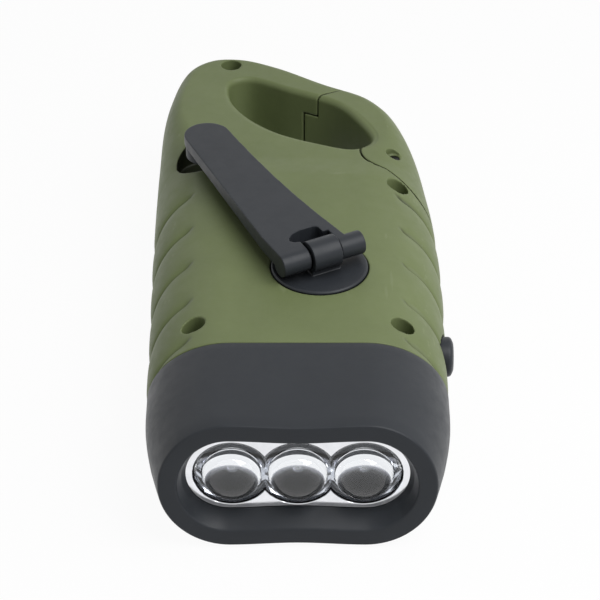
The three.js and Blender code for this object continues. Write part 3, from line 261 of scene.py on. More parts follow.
def raised(points, z0, z1):
    """A flat outline raised along z. Its two ends are single faces."""
    count = len(points)
    verts = [(x, y, z) for z in (z0, z1) for x, y in points]
    sides = [(i, (i + 1) % count, count + (i + 1) % count, count + i) for i in range(count)]
    ends = [tuple(range(count))[::-1], tuple(range(count, 2 * count))]
    obj = mesh_piece("raised", verts, sides + ends)
    outward(obj)
    return obj


def settle(obj):
    """Replaces an object's mesh by what its modifiers make of it."""
    bpy.context.view_layer.update()
    graph = bpy.context.evaluated_depsgraph_get()
    mesh = bpy.data.meshes.new_from_object(obj.evaluated_get(graph))
    old = obj.data
    obj.modifiers.clear()
    obj.data = mesh
    bpy.data.meshes.remove(old)
    return obj


def combine(base, others, operation):
    for other in others:
        step = base.modifiers.new("step", "BOOLEAN")
        step.operation = operation
        step.object = other
        step.solver = "MANIFOLD"
    settle(base)
    for other in others:
        bpy.data.objects.remove(other)
    return base


def cut(base, *tools):
    return combine(base, tools, "DIFFERENCE")


def union(base, *others):
    return combine(base, others, "UNION")


def common(base, *others):
    return combine(base, others, "INTERSECT")


def moulded(obj, name, voxel, rounds, keep):
    """Gives a sharp solid the small edge radii of a moulding: a fine regular mesh, relaxed."""
    remesh = obj.modifiers.new("remesh", "REMESH")
    remesh.mode = "VOXEL"
    remesh.voxel_size = voxel * 0.001
    relax = obj.modifiers.new("relax", "SMOOTH")
    relax.factor = 0.5
    relax.iterations = rounds
    thin = obj.modifiers.new("thin", "DECIMATE")
    thin.ratio = keep
    settle(obj)
    obj.name = obj.data.name = name
    return obj


def shade(obj, degrees):
    """Smooth shading, with sharp edges from an angle up. 180 keeps none sharp."""
    obj.data.shade_smooth()
    if degrees < 180:
        obj.data.set_sharp_from_angle(angle=math.radians(degrees))
    return obj


# ---------------------------------------------------------------- curves
def catmull_rom(points, closed, steps):
    """A centripetal spline through points, as evenly timed samples."""
    points = np.asarray(points, float)
    count = len(points)
    spans = count if closed else count - 1
    out = []
    for k in range(spans):
        p1, p2 = points[k], points[(k + 1) % count]
        p0 = points[k - 1] if closed or k else 2 * points[0] - points[1]
        p3 = points[(k + 2) % count] if closed or k + 2 < count else 2 * points[-1] - points[-2]
        d0, d1, d2 = (np.linalg.norm(b - a) ** 0.5 for a, b in ((p0, p1), (p1, p2), (p2, p3)))
        m1 = ((p1 - p0) / d0 - (p2 - p0) / (d0 + d1) + (p2 - p1) / d1) * d1
        m2 = ((p2 - p1) / d1 - (p3 - p1) / (d1 + d2) + (p3 - p2) / d2) * d1
        t = np.linspace(0, 1, steps, endpoint=False)[:, None]
        square, cube = -3 * p1 + 3 * p2 - 2 * m1 - m2, 2 * p1 - 2 * p2 + m1 + m2
        out.append(p1 + m1 * t + square * t**2 + cube * t**3)
    curve = np.concatenate(out)
    return curve if closed else np.vstack([curve, points[-1]])


class Path:
    """A sampled curve read by its share of the length."""

    def __init__(self, samples):
        self.samples = samples
        steps = np.linalg.norm(np.diff(samples, axis=0), axis=1)
        self.at = np.concatenate([[0], np.cumsum(steps)])
        self.length = self.at[-1]
        tangent = np.gradient(samples, axis=0)
        self.tangent = tangent / np.linalg.norm(tangent, axis=1)[:, None]

    def read(self, share):
        where = np.clip(share, 0, 1) * self.length
        point = np.stack([np.interp(where, self.at, self.samples[:, i]) for i in range(2)], -1)
        tangent = np.stack([np.interp(where, self.at, self.tangent[:, i]) for i in range(2)], -1)
        tangent /= np.linalg.norm(tangent, axis=-1)[..., None]
        return point, np.stack([-tangent[..., 1], tangent[..., 0]], -1)

    def share_at(self, y, side):
        """The share at which the path passes y on its right or its left side."""
        ys = self.samples[:, 1]
        peak = int(np.argmax(ys))
        if side > 0:
            return np.interp(y, ys[: peak + 1], self.at[: peak + 1]) / self.length
        return np.interp(y, ys[peak:][::-1], self.at[peak:][::-1]) / self.length


W, L = HALF_WIDTH, LENGTH
OUTLINE = Path(
    catmull_rom(
        [
            (W, CASE_FRONT_Y),
            (W + 0.1, SEAM_Y + 9),
            (W + 0.5, 0.46 * L),
            (W - 0.8, 0.64 * L),
            (W - 3.9, 0.765 * L),
            (W - 11.2, 0.862 * L),
            (0.26 * W, 0.913 * L),
            (-0.11 * W, 0.968 * L),
            (-0.42 * W, 0.9965 * L),
            (-0.705 * W, 0.9937 * L),
            (-W + 2.4, 0.957 * L),
            (-W - 0.9, 0.867 * L),
            (-W - 1.6, 0.734 * L),
            (-W - 1.3, 0.5 * L),
            (-W - 0.5, SEAM_Y + 16),
            (-W, CASE_FRONT_Y),
        ],
        False,
        240,
    )
)
LOOP_HOLE = catmull_rom(
    [
        (-0.5205 * W, 0.8462 * L),
        (-0.3904 * W, 0.7902 * L),
        (-0.1644 * W, 0.7427 * L),
        (0.137 * W, 0.7105 * L),
        (0.4247 * W, 0.6937 * L),
        (0.5411 * W, 0.7161 * L),
        (0.4384 * W, 0.779 * L),
        (0.2808 * W, 0.828 * L),
        (-0.0685 * W, 0.8713 * L),
        (-0.3767 * W, 0.9049 * L),
        (-0.5103 * W, 0.8951 * L),
    ],
    True,
    40,
)
BUTTON_FACE = float(OUTLINE.read(OUTLINE.share_at(BUTTON_Y, 1))[0][0])


# ---------------------------------------------------------------- case form
def reach_at(y):
    return EDGE_REACH + (TAIL_REACH - EDGE_REACH) * smoothstep(y, 0.573 * L, 0.825 * L)


def half_height(y):
    return MID - TOP_DIP * smoothstep(y, DIP_START, DIP_END) - TAIL_DIP * smoothstep(y, DIP_END, L)


def groove_shift(climb, y):
    """How far behind its place at half climb a groove lies: it leans forward on its way down."""
    return (1 - smoothstep(y, DIP_START, TAIL_START_Y)) * GROOVE_LEAN * (climb - 0.5)


def from_groove(y):
    """How many groove pitches y lies from the nearest groove."""
    phase = (y - FIRST_GROOVE_Y) / GROOVE_PITCH
    return np.abs(phase - np.clip(np.round(phase), 0, GROOVE_COUNT - 1))


def crease_at(pitches):
    """1 on a groove's bottom line, falling off over CREASE_WIDTH."""
    return np.exp(-((pitches * GROOVE_PITCH / CREASE_WIDTH) ** 2))


def scallop_depth(y, inset):
    """How deep the scallops are cut: pillows that meet in creases, each with a fine line in it."""
    away = from_groove(y)
    pillow = PILLOW_DEPTH * np.clip(1 - 2 * away, 0, 1) ** 3
    fade = 1 - smoothstep(inset, 0.7 * GROOVE_REACH, GROOVE_REACH)
    return (pillow + CREASE_DEPTH * crease_at(away)) * fade


def mark_crease_shade(obj):
    """Stores how near each point lies to a crease, 1 in it, where the olive plastic paints shade
    along the creases.
    """
    places = np.empty(len(obj.data.vertices) * 3)
    obj.data.vertices.foreach_get("co", places)
    x, y, z = (places.reshape(-1, 3) * 1000).T
    y = y + L / 2
    edges = [OUTLINE.read(OUTLINE.share_at(y, side))[0][:, 0] for side in (1, -1)]
    inset = np.where(x > 0, edges[0] - x, x - edges[1])
    climb = np.clip(np.abs(z - MID) / half_height(y), 0, 1)
    first_y = y
    for _ in range(2):
        first_y = y - groove_shift(climb, first_y)
    fade = 1 - smoothstep(inset, 0.8 * GROOVE_REACH, GROOVE_REACH)
    near = crease_at(from_groove(first_y)) * fade
    crease = obj.data.attributes.new("crease", "FLOAT", "POINT")
    crease.data.foreach_set("value", near.astype(np.float32))
    return obj


def case_half(name, side, offset=0.0, scallops=True):
    """Half of the case's outer form, grown inwards by offset. side is 1 for the top."""
    step = 0.35 if scallops else 3.0
    ys = np.arange(CASE_FRONT_Y, TAIL_START_Y - 5, step)
    right = OUTLINE.share_at(ys, 1)
    left = OUTLINE.share_at(ys, -1)[::-1]
    start, end = OUTLINE.share_at(TAIL_START_Y, 1), OUTLINE.share_at(TAIL_START_Y, -1)
    tail = np.linspace(start, end, 301 if scallops else 41)
    share = np.concatenate([right, tail, left])
    turn = np.concatenate([np.ones(len(ys)), np.zeros(len(tail)), -np.ones(len(ys))])
    first_y = OUTLINE.read(share)[0][:, 1]
    degrees = [0, 1, 2, 3, 4.5] + list(np.arange(6, 91, 2)) if scallops else list(range(0, 91, 10))
    rings = []
    for angle in degrees:
        climb, lean = math.sin(math.radians(angle)), 1 - math.cos(math.radians(angle))
        shift = turn * groove_shift(climb, first_y) if scallops else 0
        point, inward = OUTLINE.read(share + shift / OUTLINE.length)
        reach = np.maximum(reach_at(point[:, 1]) - offset, 1)
        inset = offset + reach * lean
        height = (half_height(point[:, 1]) - offset) * climb
        if scallops:
            depth = scallop_depth(first_y, inset) * (turn != 0)
            inset = inset + depth * math.cos(math.radians(angle))
            height = height - depth * math.sin(math.radians(angle))
            near = np.clip(1 - height / PARTING_ROUND, 0, 1)
            inset = inset + PARTING_ROUND * (1 - np.sqrt(1 - near**2))
        place = point + inward * np.broadcast_to(inset, len(point))[:, None]
        rings.append(np.column_stack([place, MID + side * height]))
    return skin(name, rings)


def loop_cutter():
    """The loop's opening. It flares at both faces, so the edges come out rounded."""
    tangent = np.roll(LOOP_HOLE, -1, 0) - np.roll(LOOP_HOLE, 1, 0)
    tangent /= np.linalg.norm(tangent, axis=1)[:, None]
    outwards = np.column_stack([tangent[:, 1], -tangent[:, 0]])
    face = float(half_height(0.8 * L))
    levels = [
        (face - LOOP_ROUND * (1 - share), LOOP_ROUND * (1 - math.sqrt(1 - share**2)))
        for share in np.linspace(0, 1, 9)
    ] + [(face + 2, LOOP_ROUND)]

    def ring(z, grow):
        return np.column_stack([LOOP_HOLE + grow * outwards, np.full(len(LOOP_HOLE), z)])

    lower = [ring(MID - z, grow) for z, grow in levels[::-1]]
    upper = [ring(MID + z, grow) for z, grow in levels]
    return skin("loop", lower + upper)


def gate_plan(grow, lap=0.0):
    """The gate's outline from above, grown outwards. lap carries the stepped nose past the cut."""
    nose = math.dist(GATE_NOSE, PIVOT) + lap
    nose_angle = math.degrees(math.atan2(GATE_NOSE[1] - PIVOT[1], GATE_NOSE[0] - PIVOT[0]))
    tight = math.degrees(grow / KNUCKLE_RADIUS)
    knuckle = np.linspace(160 - tight, 252 + tight, 48)
    return (
        [along(PIVOT, KNUCKLE_RADIUS + grow, a) for a in knuckle]
        + [
            (W - 2.9 - grow, PIVOT[1] - 12.5 - grow),
            (W + 5, PIVOT[1] - 18.5 - grow),
            (W + 8, PIVOT[1] + 20),
            (GATE_NOSE[0] + 10.5, GATE_NOSE[1] + 14 + lap),
        ]
        + [along(PIVOT, nose + grow, a) for a in np.linspace(101, nose_angle + 4, 24)]
        + [(0.17 * W, 0.755 * L)]
    )


def gate_room(grow):
    """The room that is the gate's, grown outwards."""
    half = NOSE_LAP_HALF + grow
    nose = raised(gate_plan(grow, NOSE_LAP), MID - half, MID + half)
    return union(raised(gate_plan(grow), -1, THICKNESS + 1), nose)


def gate_knuckle():
    """The case's tongue, which the gate's fork turns on."""
    disc = post(*PIVOT, TONGUE_RADIUS, MID - TONGUE_HALF, MID + TONGUE_HALF)
    neck = [PIVOT, along(PIVOT, KNUCKLE_RADIUS + 2, 198), along(PIVOT, KNUCKLE_RADIUS + 2, 232)]
    return union(disc, raised(neck, MID - TONGUE_HALF, MID + TONGUE_HALF))


def inner_fittings(node, side):
    """What the CAD shell has inside its walls: towers, posts and seats, with the spigot."""
    copy = bpy.data.objects.new("inside", NODES[node].data.copy())
    bpy.context.scene.collection.objects.link(copy)
    weld = copy.modifiers.new("weld", "WELD")
    weld.merge_threshold = 1e-7
    settle(copy)
    return common(copy, case_half("core", side, FITTINGS_INSET, False))


def shell(name, node, side):
    """One half shell: the scalloped form, hollowed, with its openings and its inner fittings."""
    half = (MID, THICKNESS + 1) if side > 0 else (-1, MID)
    form = common(case_half(name, side), block(-PAST_SIDE, PAST_SIDE, SEAM_Y, PAST_END, *half))
    hollow = case_half("hollow", side, WALL_INSET, False)
    hollow = common(hollow, block(-PAST_SIDE, PAST_SIDE, 0, HOLLOW_END_Y, -5, PAST_SIDE))
    form = cut(form, hollow, loop_cutter(), gate_room(GATE_GAP))
    form = union(form, common(gate_knuckle(), block(-PAST_SIDE, PAST_SIDE, 0, PAST_END, *half)))
    form = union(form, inner_fittings(node, side))
    holes = [
        post(*PIVOT, GATE_BORE_RADIUS, MID - 6, MID + 6),
        side_post(BUTTON_FACE - 8, BUTTON_FACE + 10, BUTTON_RADIUS + BUTTON_GAP),
    ]
    if side > 0:
        recess = DISC_TOP - DISC_THICKNESS - 0.1
        holes += [
            post(*CRANK, DISC_RADIUS + DISC_GAP, recess, THICKNESS + 2, 128),
            post(*CRANK, SHAFT_RADIUS + TURNING_PLAY, 10, THICKNESS + 2),
            post(*STOW_PLACE, STOW_RADIUS, THICKNESS - STOW_DEPTH, THICKNESS + 2, 128),
        ]
        holes += [post(x, y, SCREW_HOLE_RADIUS, SCREW_SEAT_Z, THICKNESS + 1) for x, y in SCREWS]
    form = cut(form, loop_cutter(), *holes)
    return shade(mark_crease_shade(moulded(form, name, VOXEL, 2, 0.3)), 60)


def gate(name):
    """The loop's snap gate: a slice of the case's form, forked round the tongue."""
    blank = common(union(case_half(name, 1), case_half("low", -1)), gate_room(0))
    low, high = MID - TONGUE_HALF - 0.3, MID + TONGUE_HALF + 0.3
    fork = [PIVOT] + [along(PIVOT, KNUCKLE_RADIUS + 2, a) for a in (158, 180, 205, 230, 248)]
    top = MID + float(half_height(PIVOT[1]))
    tools = [
        loop_cutter(),
        post(*PIVOT, TONGUE_RADIUS + 0.4, low, high),
        raised(fork, low, high),
        post(*PIVOT, GATE_BORE_RADIUS, 4, top - 2),
        post(*PIVOT, GATE_PIN_HEAD_RADIUS, top - 2.2, THICKNESS + 1),
    ]
    return shade(moulded(cut(blank, *tools), name, VOXEL * 0.8, 3, 0.35), 60)


# ---------------------------------------------------------------- lamp head
def head_ring(station):
    """An oblong ring across y, from (y, half width, half height, corner reach, waist). The waist
    draws its middle in, and ahead of BEVEL_Y its top leans back."""
    y, half_w, half_h, reach, waist = station
    turn = np.linspace(0, math.pi / 2, 22)
    quarter = np.column_stack([half_w - reach + reach * np.cos(turn), half_h * np.sin(turn)])
    flat = np.column_stack([np.linspace(quarter[-1, 0], 0, 9)[1:], np.full(8, half_h)])
    right = np.vstack([quarter, flat])
    top = np.vstack([right, (right[:-1] * (-1, 1))[::-1]])
    ring = np.vstack([top, (top[1:-1] * (1, -1))[::-1]])
    pinch = waist * np.cos(math.pi / 2 * np.clip(np.abs(ring[:, 0]) / 13, 0, 1)) ** 2
    back = TOP_SET_BACK * np.clip(1 - y / BEVEL_Y, 0, 1) * np.clip(ring[:, 1] / MID, 0, 1) ** 2
    return np.column_stack([ring[:, 0], y + back, MID + ring[:, 1] * (1 - pinch / half_h)])


def bezel(name):
    """The head's cap: its outside, the bevel down to the window, and its wall's inner side."""

    def outer(y, narrow, low, waist):
        return (y, HALF_WIDTH - narrow, MID - low, EDGE_REACH - narrow, waist)

    def window(y, grow_w, grow_h):
        return (y, WINDOW_W + grow_w, WINDOW_H + grow_h, WINDOW_H + grow_h, WAIST)

    lip = WINDOW_Y + LIP
    edge = []
    for t in np.linspace(0, math.pi / 2, 5):
        rounding = PARTING_ROUND * (1 - math.sin(t))
        edge.append(outer(SEAM_Y - PARTING_ROUND * (1 - math.cos(t)), rounding, rounding, 0))
    sides = [outer(16, 0.25, 0.1, 0.1), outer(8, 1.4, 0.3, 0.25), outer(3.2, 2.5, 0.4, WAIST)]
    body = catmull_rom([edge[-1], *sides], False, 6)
    corners = [
        (body[-1], True),
        (outer(0.1, 3.3, 0.65, WAIST), 0.6),
        (outer(0.3, 6.8, 4.0, WAIST), 0.6),
        (window(BEVEL_Y, 0.75, 0.7), 0.3),
        (window(lip, 0, 0), True),
    ]
    face = list(body[:-1]) + rounded(corners, 0, 7)
    inside = [
        window(lip, 2, 1.5),
        window(lip + 2.2, 2, 1.5),
        outer(lip + 3.4, 3.4, 2.6, 0),
        outer(SEAM_Y - 5.5, HEAD_WALL, HEAD_WALL, 0),
        outer(SEAM_Y, HEAD_WALL, HEAD_WALL, 0),
    ]
    stations = edge[:-1] + face + inside
    return shade(skin(name, [head_ring(s) for s in stations], closed=True), 60)


def lamp_turned(profile, x, sides=96):
    """A profile of (radius, y) pairs turned about a lamp's axis."""
    return turned("lamp", profile, (x, 0, MID), "Y", sides)


def reflector(name):
    """One plate with three cups. Boss and opening have differing side counts, so that no facets of
    theirs meet edge to edge."""
    w, h = WINDOW_W + 1.75, WINDOW_H + 1.25
    back, cup_back = PLATE_Y + 2, CUP_FRONT_Y + CUP_DEPTH
    plate = skin(name, [head_ring((y, w, h, h, WAIST)) for y in (PLATE_Y, back)])
    seat, mouth = LENS_SEAT_RADIUS, CUP_FRONT_Y + 0.55
    boss = [(0, back - 1), (6, back - 1), (6, CUP_FRONT_Y + 2), (3.6, cup_back), (0, cup_back)]
    opening = [
        (0, 0),
        (seat + 0.3, 0),
        (seat + 0.3, PLATE_Y - 0.15),
        (seat, PLATE_Y + 0.15),
        (seat, PLATE_Y + 0.5),
    ]
    for t in np.linspace(0, 1, 14):
        opening.append((CUP_MOUTH_RADIUS - 2.6 * t**1.6, mouth + t * (CUP_DEPTH - 1.95)))
    opening += [(LED_RADIUS + 0.25, cup_back + 1), (0, cup_back + 1)]
    form = union(plate, *[lamp_turned(boss, x, 94) for x in LENS_XS])
    form = cut(form, *[lamp_turned(opening, x, 96 if x else 92) for x in LENS_XS])
    return shade(form, 30)


def lens_array(name):
    """Three domes on one flange, whose back is a cone that seats in the reflector."""
    front, rim, edge = FLANGE_FRONT_Y, LENS_RIM_RADIUS, 0.2
    rise = LENS_RISE + 0.05
    arc = np.linspace(0, math.pi / 2, 20)
    profile = [(0, front + 1.3), (5.2, front + 1.3), (rim, front + 0.32), (rim, front + edge)]
    for t in arc[::6]:
        profile.append((rim - edge + edge * math.cos(t), front + edge - edge * math.sin(t)))
    profile += [(LENS_RADIUS + 0.25, front), (LENS_RADIUS + 0.1, front + 0.1)]
    profile += [(LENS_RADIUS * math.cos(t), front + 0.05 - rise * math.sin(t)) for t in arc[:-1]]
    profile.append((0, front - LENS_RISE))
    form = union(*[lamp_turned(profile, x) for x in LENS_XS])
    form.name = form.data.name = name
    return shade(form, 30)


def led(name, x):
    """A lamp bulb: its foot, its straight side and its dome."""
    back, radius, foot = BOARD_Y - 0.1, LED_RADIUS, 2.9
    shoulder = back - 8.2 + radius
    arc = np.linspace(0, math.pi / 2, 12)
    profile = [(0, back), (foot, back), (foot, back - 0.9)]
    profile += [(radius, back - 0.9), (radius, shoulder)]
    profile += [(radius * math.cos(t), shoulder - radius * math.sin(t)) for t in arc[1:-1]]
    profile.append((0, shoulder - radius))
    obj = lamp_turned(profile, x, 48)
    obj.name = obj.data.name = name
    return shade(obj, 30)


# ---------------------------------------------------------------- crank
def on_hinge(obj):
    """Turns a piece drawn from the middle of the hinge, arm along +y, to its place."""
    hinge = along(CRANK, -HINGE_BACK, ARM_ANGLE)
    origin = Vector((0, -LENGTH / 2 * 0.001, 0))
    place = Vector((hinge[0] * 0.001, (hinge[1] - LENGTH / 2) * 0.001, 0))
    turn = Matrix.Rotation(math.radians(ARM_ANGLE - 90), 4, "Z")
    obj.data.transform(Matrix.Translation(place) @ turn @ Matrix.Translation(-origin))
    return obj


def barrel(x0, x1, radius):
    """A cylinder along x on the hinge's axis."""
    return turned("barrel", [(0, x0), (radius, x0), (radius, x1), (0, x1)], (0, 0, HINGE_Z), "X")


def arm_top(y):
    return HINGE_Z + float(np.interp(y, (3, 54), (BARREL_RADIUS, 1.75)))


def arm_low(y):
    return HINGE_Z + float(np.interp(y, (3, 54), (-1, -0.55)))


def arm_edges(y):
    """The plate's left and right edges. The left one leans in, the right one is drawn in."""
    tip = TIP_RADIUS - TIP_SIDE
    t = np.linspace(0, 1, 60)
    weights = ((1 - t) ** 3, 3 * t * (1 - t) ** 2, 3 * t * t * (1 - t), t**3)
    xs = sum(w * x for w, x in zip(weights, (ARM_RIGHT, ARM_RIGHT - 1.3, tip - 1.05, tip)))
    ys = sum(w * at * ARM_LENGTH for w, at in zip(weights, (0, 0.24, 0.49, 1)))
    right = float(np.interp(y, ys, xs))
    left_ys = (0, 0.15 * ARM_LENGTH, ARM_LENGTH + 0.44)
    left = float(np.interp(y, left_ys, (ARM_LEFT, ARM_LEFT - 0.1, TIP_RADIUS + TIP_SIDE)))
    if y > ARM_LENGTH:
        half = math.sqrt(max(TIP_RADIUS**2 - (y - ARM_LENGTH) ** 2, 0))
        left, right = min(left, half + TIP_SIDE), half - TIP_SIDE
    return -left, right


def arm(name):
    """The folding lever, drawn from the middle of the hinge."""
    round_end = ARM_LENGTH + TIP_RADIUS * np.sin(np.linspace(0.04, math.pi / 2 - 0.06, 30))
    rings = []
    for y in np.concatenate([np.linspace(0, ARM_LENGTH, 50), round_end]):
        (left, right), low, high = arm_edges(y), arm_low(y), arm_top(y)
        rings.append([(left, y, low), (right, y, low), (right, y, high), (left, y, high)])
    fork = LUG_HALF_WIDTH + 0.35
    reach = math.hypot(NECK_BACK, DISC_TOP - HINGE_Z) + 0.3
    slot = [(-5.2, 3.7), (-4.6, 2.9), (-3.4, 2.6), (2.2, 2.6), (2.2, 5.4)]
    slot += [(1.9, 6), (1.2, 6.3), (-1.5, 6.3), (-3.6, 5.7), (-4.9, 4.6)]
    low, high = HINGE_Z - 6, HINGE_Z + 6
    form = union(skin(name, rings), barrel(-BARREL_LEFT, BARREL_RIGHT, BARREL_RADIUS))
    tools = [
        block(-fork, fork, -reach, reach, low, high),
        raised(slot, low, high),
        barrel(-BARREL_LEFT + 1, BARREL_RIGHT + 1, HINGE_PIN_RADIUS + FIXED_PLAY),
        post(-TIP_SIDE, ARM_LENGTH, KNOB_PIN_RADIUS + FIXED_PLAY, low, arm_low(ARM_LENGTH) + 1.4),
    ]
    return shade(on_hinge(moulded(cut(form, *tools), name, VOXEL / 2, 10, 0.35)), 180)


def hub(name):
    """The disc with its hinge lug, drawn from the middle of the hinge."""
    low = DISC_TOP - DISC_THICKNESS
    profile = [
        (0, GEAR_TOP + 0.1),
        (SHAFT_RADIUS, GEAR_TOP + 0.1),
        (SHAFT_RADIUS, low),
        (DISC_RADIUS, low),
        (DISC_RADIUS, DISC_TOP - 0.3),
        (DISC_RADIUS - 0.3, DISC_TOP),
        (0, DISC_TOP),
    ]
    w, back = LUG_HALF_WIDTH, HINGE_BACK
    form = union(
        turned(name, profile, (0, back, 0), sides=128),
        block(-1.8, 1.8, back - 1.8, back + 1.8, GEAR_TOP - 2.2, GEAR_TOP + 1),
        block(-w, w, -NECK_FRONT, NECK_BACK, DISC_TOP - 1, HINGE_Z),
        barrel(-w, w, LUG_RADIUS),
    )
    hole = post(0, back, 0.96, GEAR_TOP - 3.2, GEAR_TOP + 3)
    form = cut(form, barrel(-w - 1, w + 1, HINGE_PIN_RADIUS + TURNING_PLAY), hole)
    return shade(on_hinge(moulded(form, name, VOXEL / 2, 6, 0.35)), 180)


def rounded(corners, radius, steps=6):
    """A profile through corners, (point, finish): True keeps one sharp, False rounds it by radius,
    and a number by its own."""
    points = [np.array(p, float) for p, _ in corners]
    out = []
    for k, (point, finish) in enumerate(corners):
        if finish is True:
            out.append(tuple(point))
            continue
        size = finish or radius
        here = points[k]
        before, after = points[k - 1] - here, points[(k + 1) % len(points)] - here
        before, after = before / np.linalg.norm(before), after / np.linalg.norm(after)
        start, end = here + before * size, here + after * size
        for t in np.linspace(0, 1, steps):
            out.append(tuple((1 - t) ** 2 * start + 2 * t * (1 - t) * here + t * t * end))
    return out


def knob(name):
    """The grip under the arm's tip, bored for its pin and sunk for the pin's head."""
    top = arm_low(ARM_LENGTH) - 0.25
    low = top - KNOB_HEIGHT
    bore = KNOB_PIN_RADIUS + TURNING_PLAY
    corners = [
        ((bore, top), True),
        ((bore, low + 1), True),
        ((2.3, low + 1), True),
        ((2.3, low), False),
        ((KNOB_RADIUS, low), False),
        ((KNOB_RADIUS, top), False),
    ]
    obj = turned(name, rounded(corners, 0.45), (-TIP_SIDE, ARM_LENGTH, 0), sides=96)
    return shade(on_hinge(obj), 40)


def button(name):
    """The push button's cap with its collar and the stem that reaches the switch."""
    back, proud = BUTTON_FACE - 4, BUTTON_FACE + BUTTON_PROUD
    corners = [
        ((0, PLUNGER_END_X), True),
        ((1.5, PLUNGER_END_X), True),
        ((1.5, back), True),
        ((BUTTON_RADIUS + 0.9, back), True),
        ((BUTTON_RADIUS + 0.9, BUTTON_FACE - 2.3), True),
        ((BUTTON_RADIUS, BUTTON_FACE - 2.3), True),
        ((BUTTON_RADIUS, BUTTON_FACE + 0.9), False),
        ((BUTTON_RADIUS - 1.2, proud - 0.08), True),
        ((BUTTON_RADIUS - 2.4, proud), True),
        ((0, proud), True),
    ]
    return shade(turned(name, rounded(corners, 0.6, 8), (0, BUTTON_Y, MID), "X"), 40)


# ---------------------------------------------------------------- materials
def fill(tree, socket, value):
    """Links a socket to another one, or gives it a number or a colour."""
    if isinstance(value, bpy.types.NodeSocket):
        tree.links.new(value, socket)
    else:
        socket.default_value = (*value, 1) if isinstance(value, tuple) else value


class Nodes:
    """Short forms for building a material's nodes."""

    def __init__(self, name):
        self.material = bpy.data.materials.new(name)
        self.material.use_nodes = True
        self.tree = self.material.node_tree
        self.shader = self.tree.nodes["Principled BSDF"]
        self.place = self.add("ShaderNodeTexCoord").outputs["Object"]

    def add(self, kind, **values):
        node = self.tree.nodes.new(kind)
        for key, value in values.items():
            setattr(node, key, value)
        return node

    def link(self, source, target):
        self.tree.links.new(source, target)

    def noise(self, scale, detail=2.0, roughness=0.5, stretch=(1, 1, 1)):
        """Noise whose grains are about scale millimetres across."""
        mapping = self.add("ShaderNodeMapping")
        mapping.inputs["Scale"].default_value = [1000 / scale * s for s in stretch]
        self.link(self.place, mapping.inputs["Vector"])
        node = self.add("ShaderNodeTexNoise")
        node.inputs["Scale"].default_value = 1.0
        node.inputs["Detail"].default_value = detail
        node.inputs["Roughness"].default_value = roughness
        self.link(mapping.outputs["Vector"], node.inputs["Vector"])
        return node.outputs["Fac"]

    def hollow(self, reach):
        """1 on open surfaces, falling to 0 in creases and holes within reach millimetres: where
        painted shade goes.
        """
        node = self.add("ShaderNodeAmbientOcclusion", samples=8)
        node.inputs["Distance"].default_value = reach * 0.001
        return node.outputs["AO"]

    def axes(self):
        split = self.add("ShaderNodeSeparateXYZ")
        self.link(self.place, split.inputs[0])
        return split.outputs

    def away(self, first, second):
        """The length, in millimetres, of two sides given in metres."""
        squares = [self.calc("MULTIPLY", side, side) for side in (first, second)]
        return self.calc("MULTIPLY", self.calc("SQRT", self.calc("ADD", *squares)), 1000.0)

    def lamp_radius(self):
        """The distance from the nearest lamp's axis, in millimetres."""
        axes = self.axes()
        centre = self.calc("ABSOLUTE", axes["X"])
        outer = self.calc("ABSOLUTE", self.calc("SUBTRACT", centre, LENS_PITCH / 1000))
        up = self.calc("SUBTRACT", axes["Z"], MID / 1000)
        return self.away(self.calc("MINIMUM", centre, outer), up)

    def behind(self, y, fade):
        """0 up to y millimetres from the front, then rising to 1 over fade millimetres."""
        start = (y - LENGTH / 2) / 1000
        return self.to_range(self.axes()["Y"], 0.0, 1.0, start, start + fade / 1000)

    def stow_hole_shade(self):
        """1 in the round hole that the folded knob drops into, which gets painted shade."""
        x, y = STOW_PLACE
        axes = self.axes()
        across = self.calc("SUBTRACT", axes["X"], x / 1000)
        ahead = self.calc("SUBTRACT", axes["Y"], (y - LENGTH / 2) / 1000)
        radius = self.away(across, ahead)
        inside = self.to_range(radius, 1.0, 0.0, STOW_RADIUS + 0.02, STOW_RADIUS + 0.2)
        low, high = (THICKNESS - 1.6) / 1000, (THICKNESS - 0.5) / 1000
        return self.calc("MULTIPLY", inside, self.to_range(axes["Z"], 1.0, 0.0, low, high))

    def calc(self, operation, *values):
        node = self.add("ShaderNodeMath", operation=operation)
        for socket, value in zip(node.inputs, values):
            fill(self.tree, socket, value)
        return node.outputs[0]

    def ramp(self, value, stops):
        node = self.add("ShaderNodeValToRGB")
        elements = node.color_ramp.elements
        while len(elements) < len(stops):
            elements.new(0.5)
        for element, (at, colour) in zip(elements, stops):
            element.position = at
            element.color = (*colour, 1)
        self.link(value, node.inputs["Fac"])
        return node.outputs["Color"]

    def to_range(self, value, low, high, from_low=0.3, from_high=0.7):
        """low to high, as value goes from from_low to from_high."""
        node = self.add("ShaderNodeMapRange")
        ends = {"From Min": from_low, "From Max": from_high, "To Min": low, "To Max": high}
        for key, number in ends.items():
            node.inputs[key].default_value = number
        self.link(value, node.inputs["Value"])
        return node.outputs["Result"]

    def bump(self, height, distance, strength=1.0, below=None):
        """Bump of about distance millimetres, over the one below."""
        node = self.add("ShaderNodeBump")
        node.inputs["Distance"].default_value = distance * 0.001
        node.inputs["Strength"].default_value = strength
        self.link(height, node.inputs["Height"])
        if below:
            self.link(below, node.inputs["Normal"])
        return node.outputs["Normal"]

    def mix(self, share, first, second):
        """The colour first where share is 0, and second where it is 1."""
        node = self.add("ShaderNodeMix", data_type="RGBA")
        for index, value in ((0, share), (6, first), (7, second)):
            fill(self.tree, node.inputs[index], value)
        return node.outputs[2]

    def set(self, **values):
        for key, value in values.items():
            fill(self.tree, self.shader.inputs[key.replace("_", " ")], value)
        return self.material


def scaled(colour, factor):
    return tuple(c * factor for c in colour)


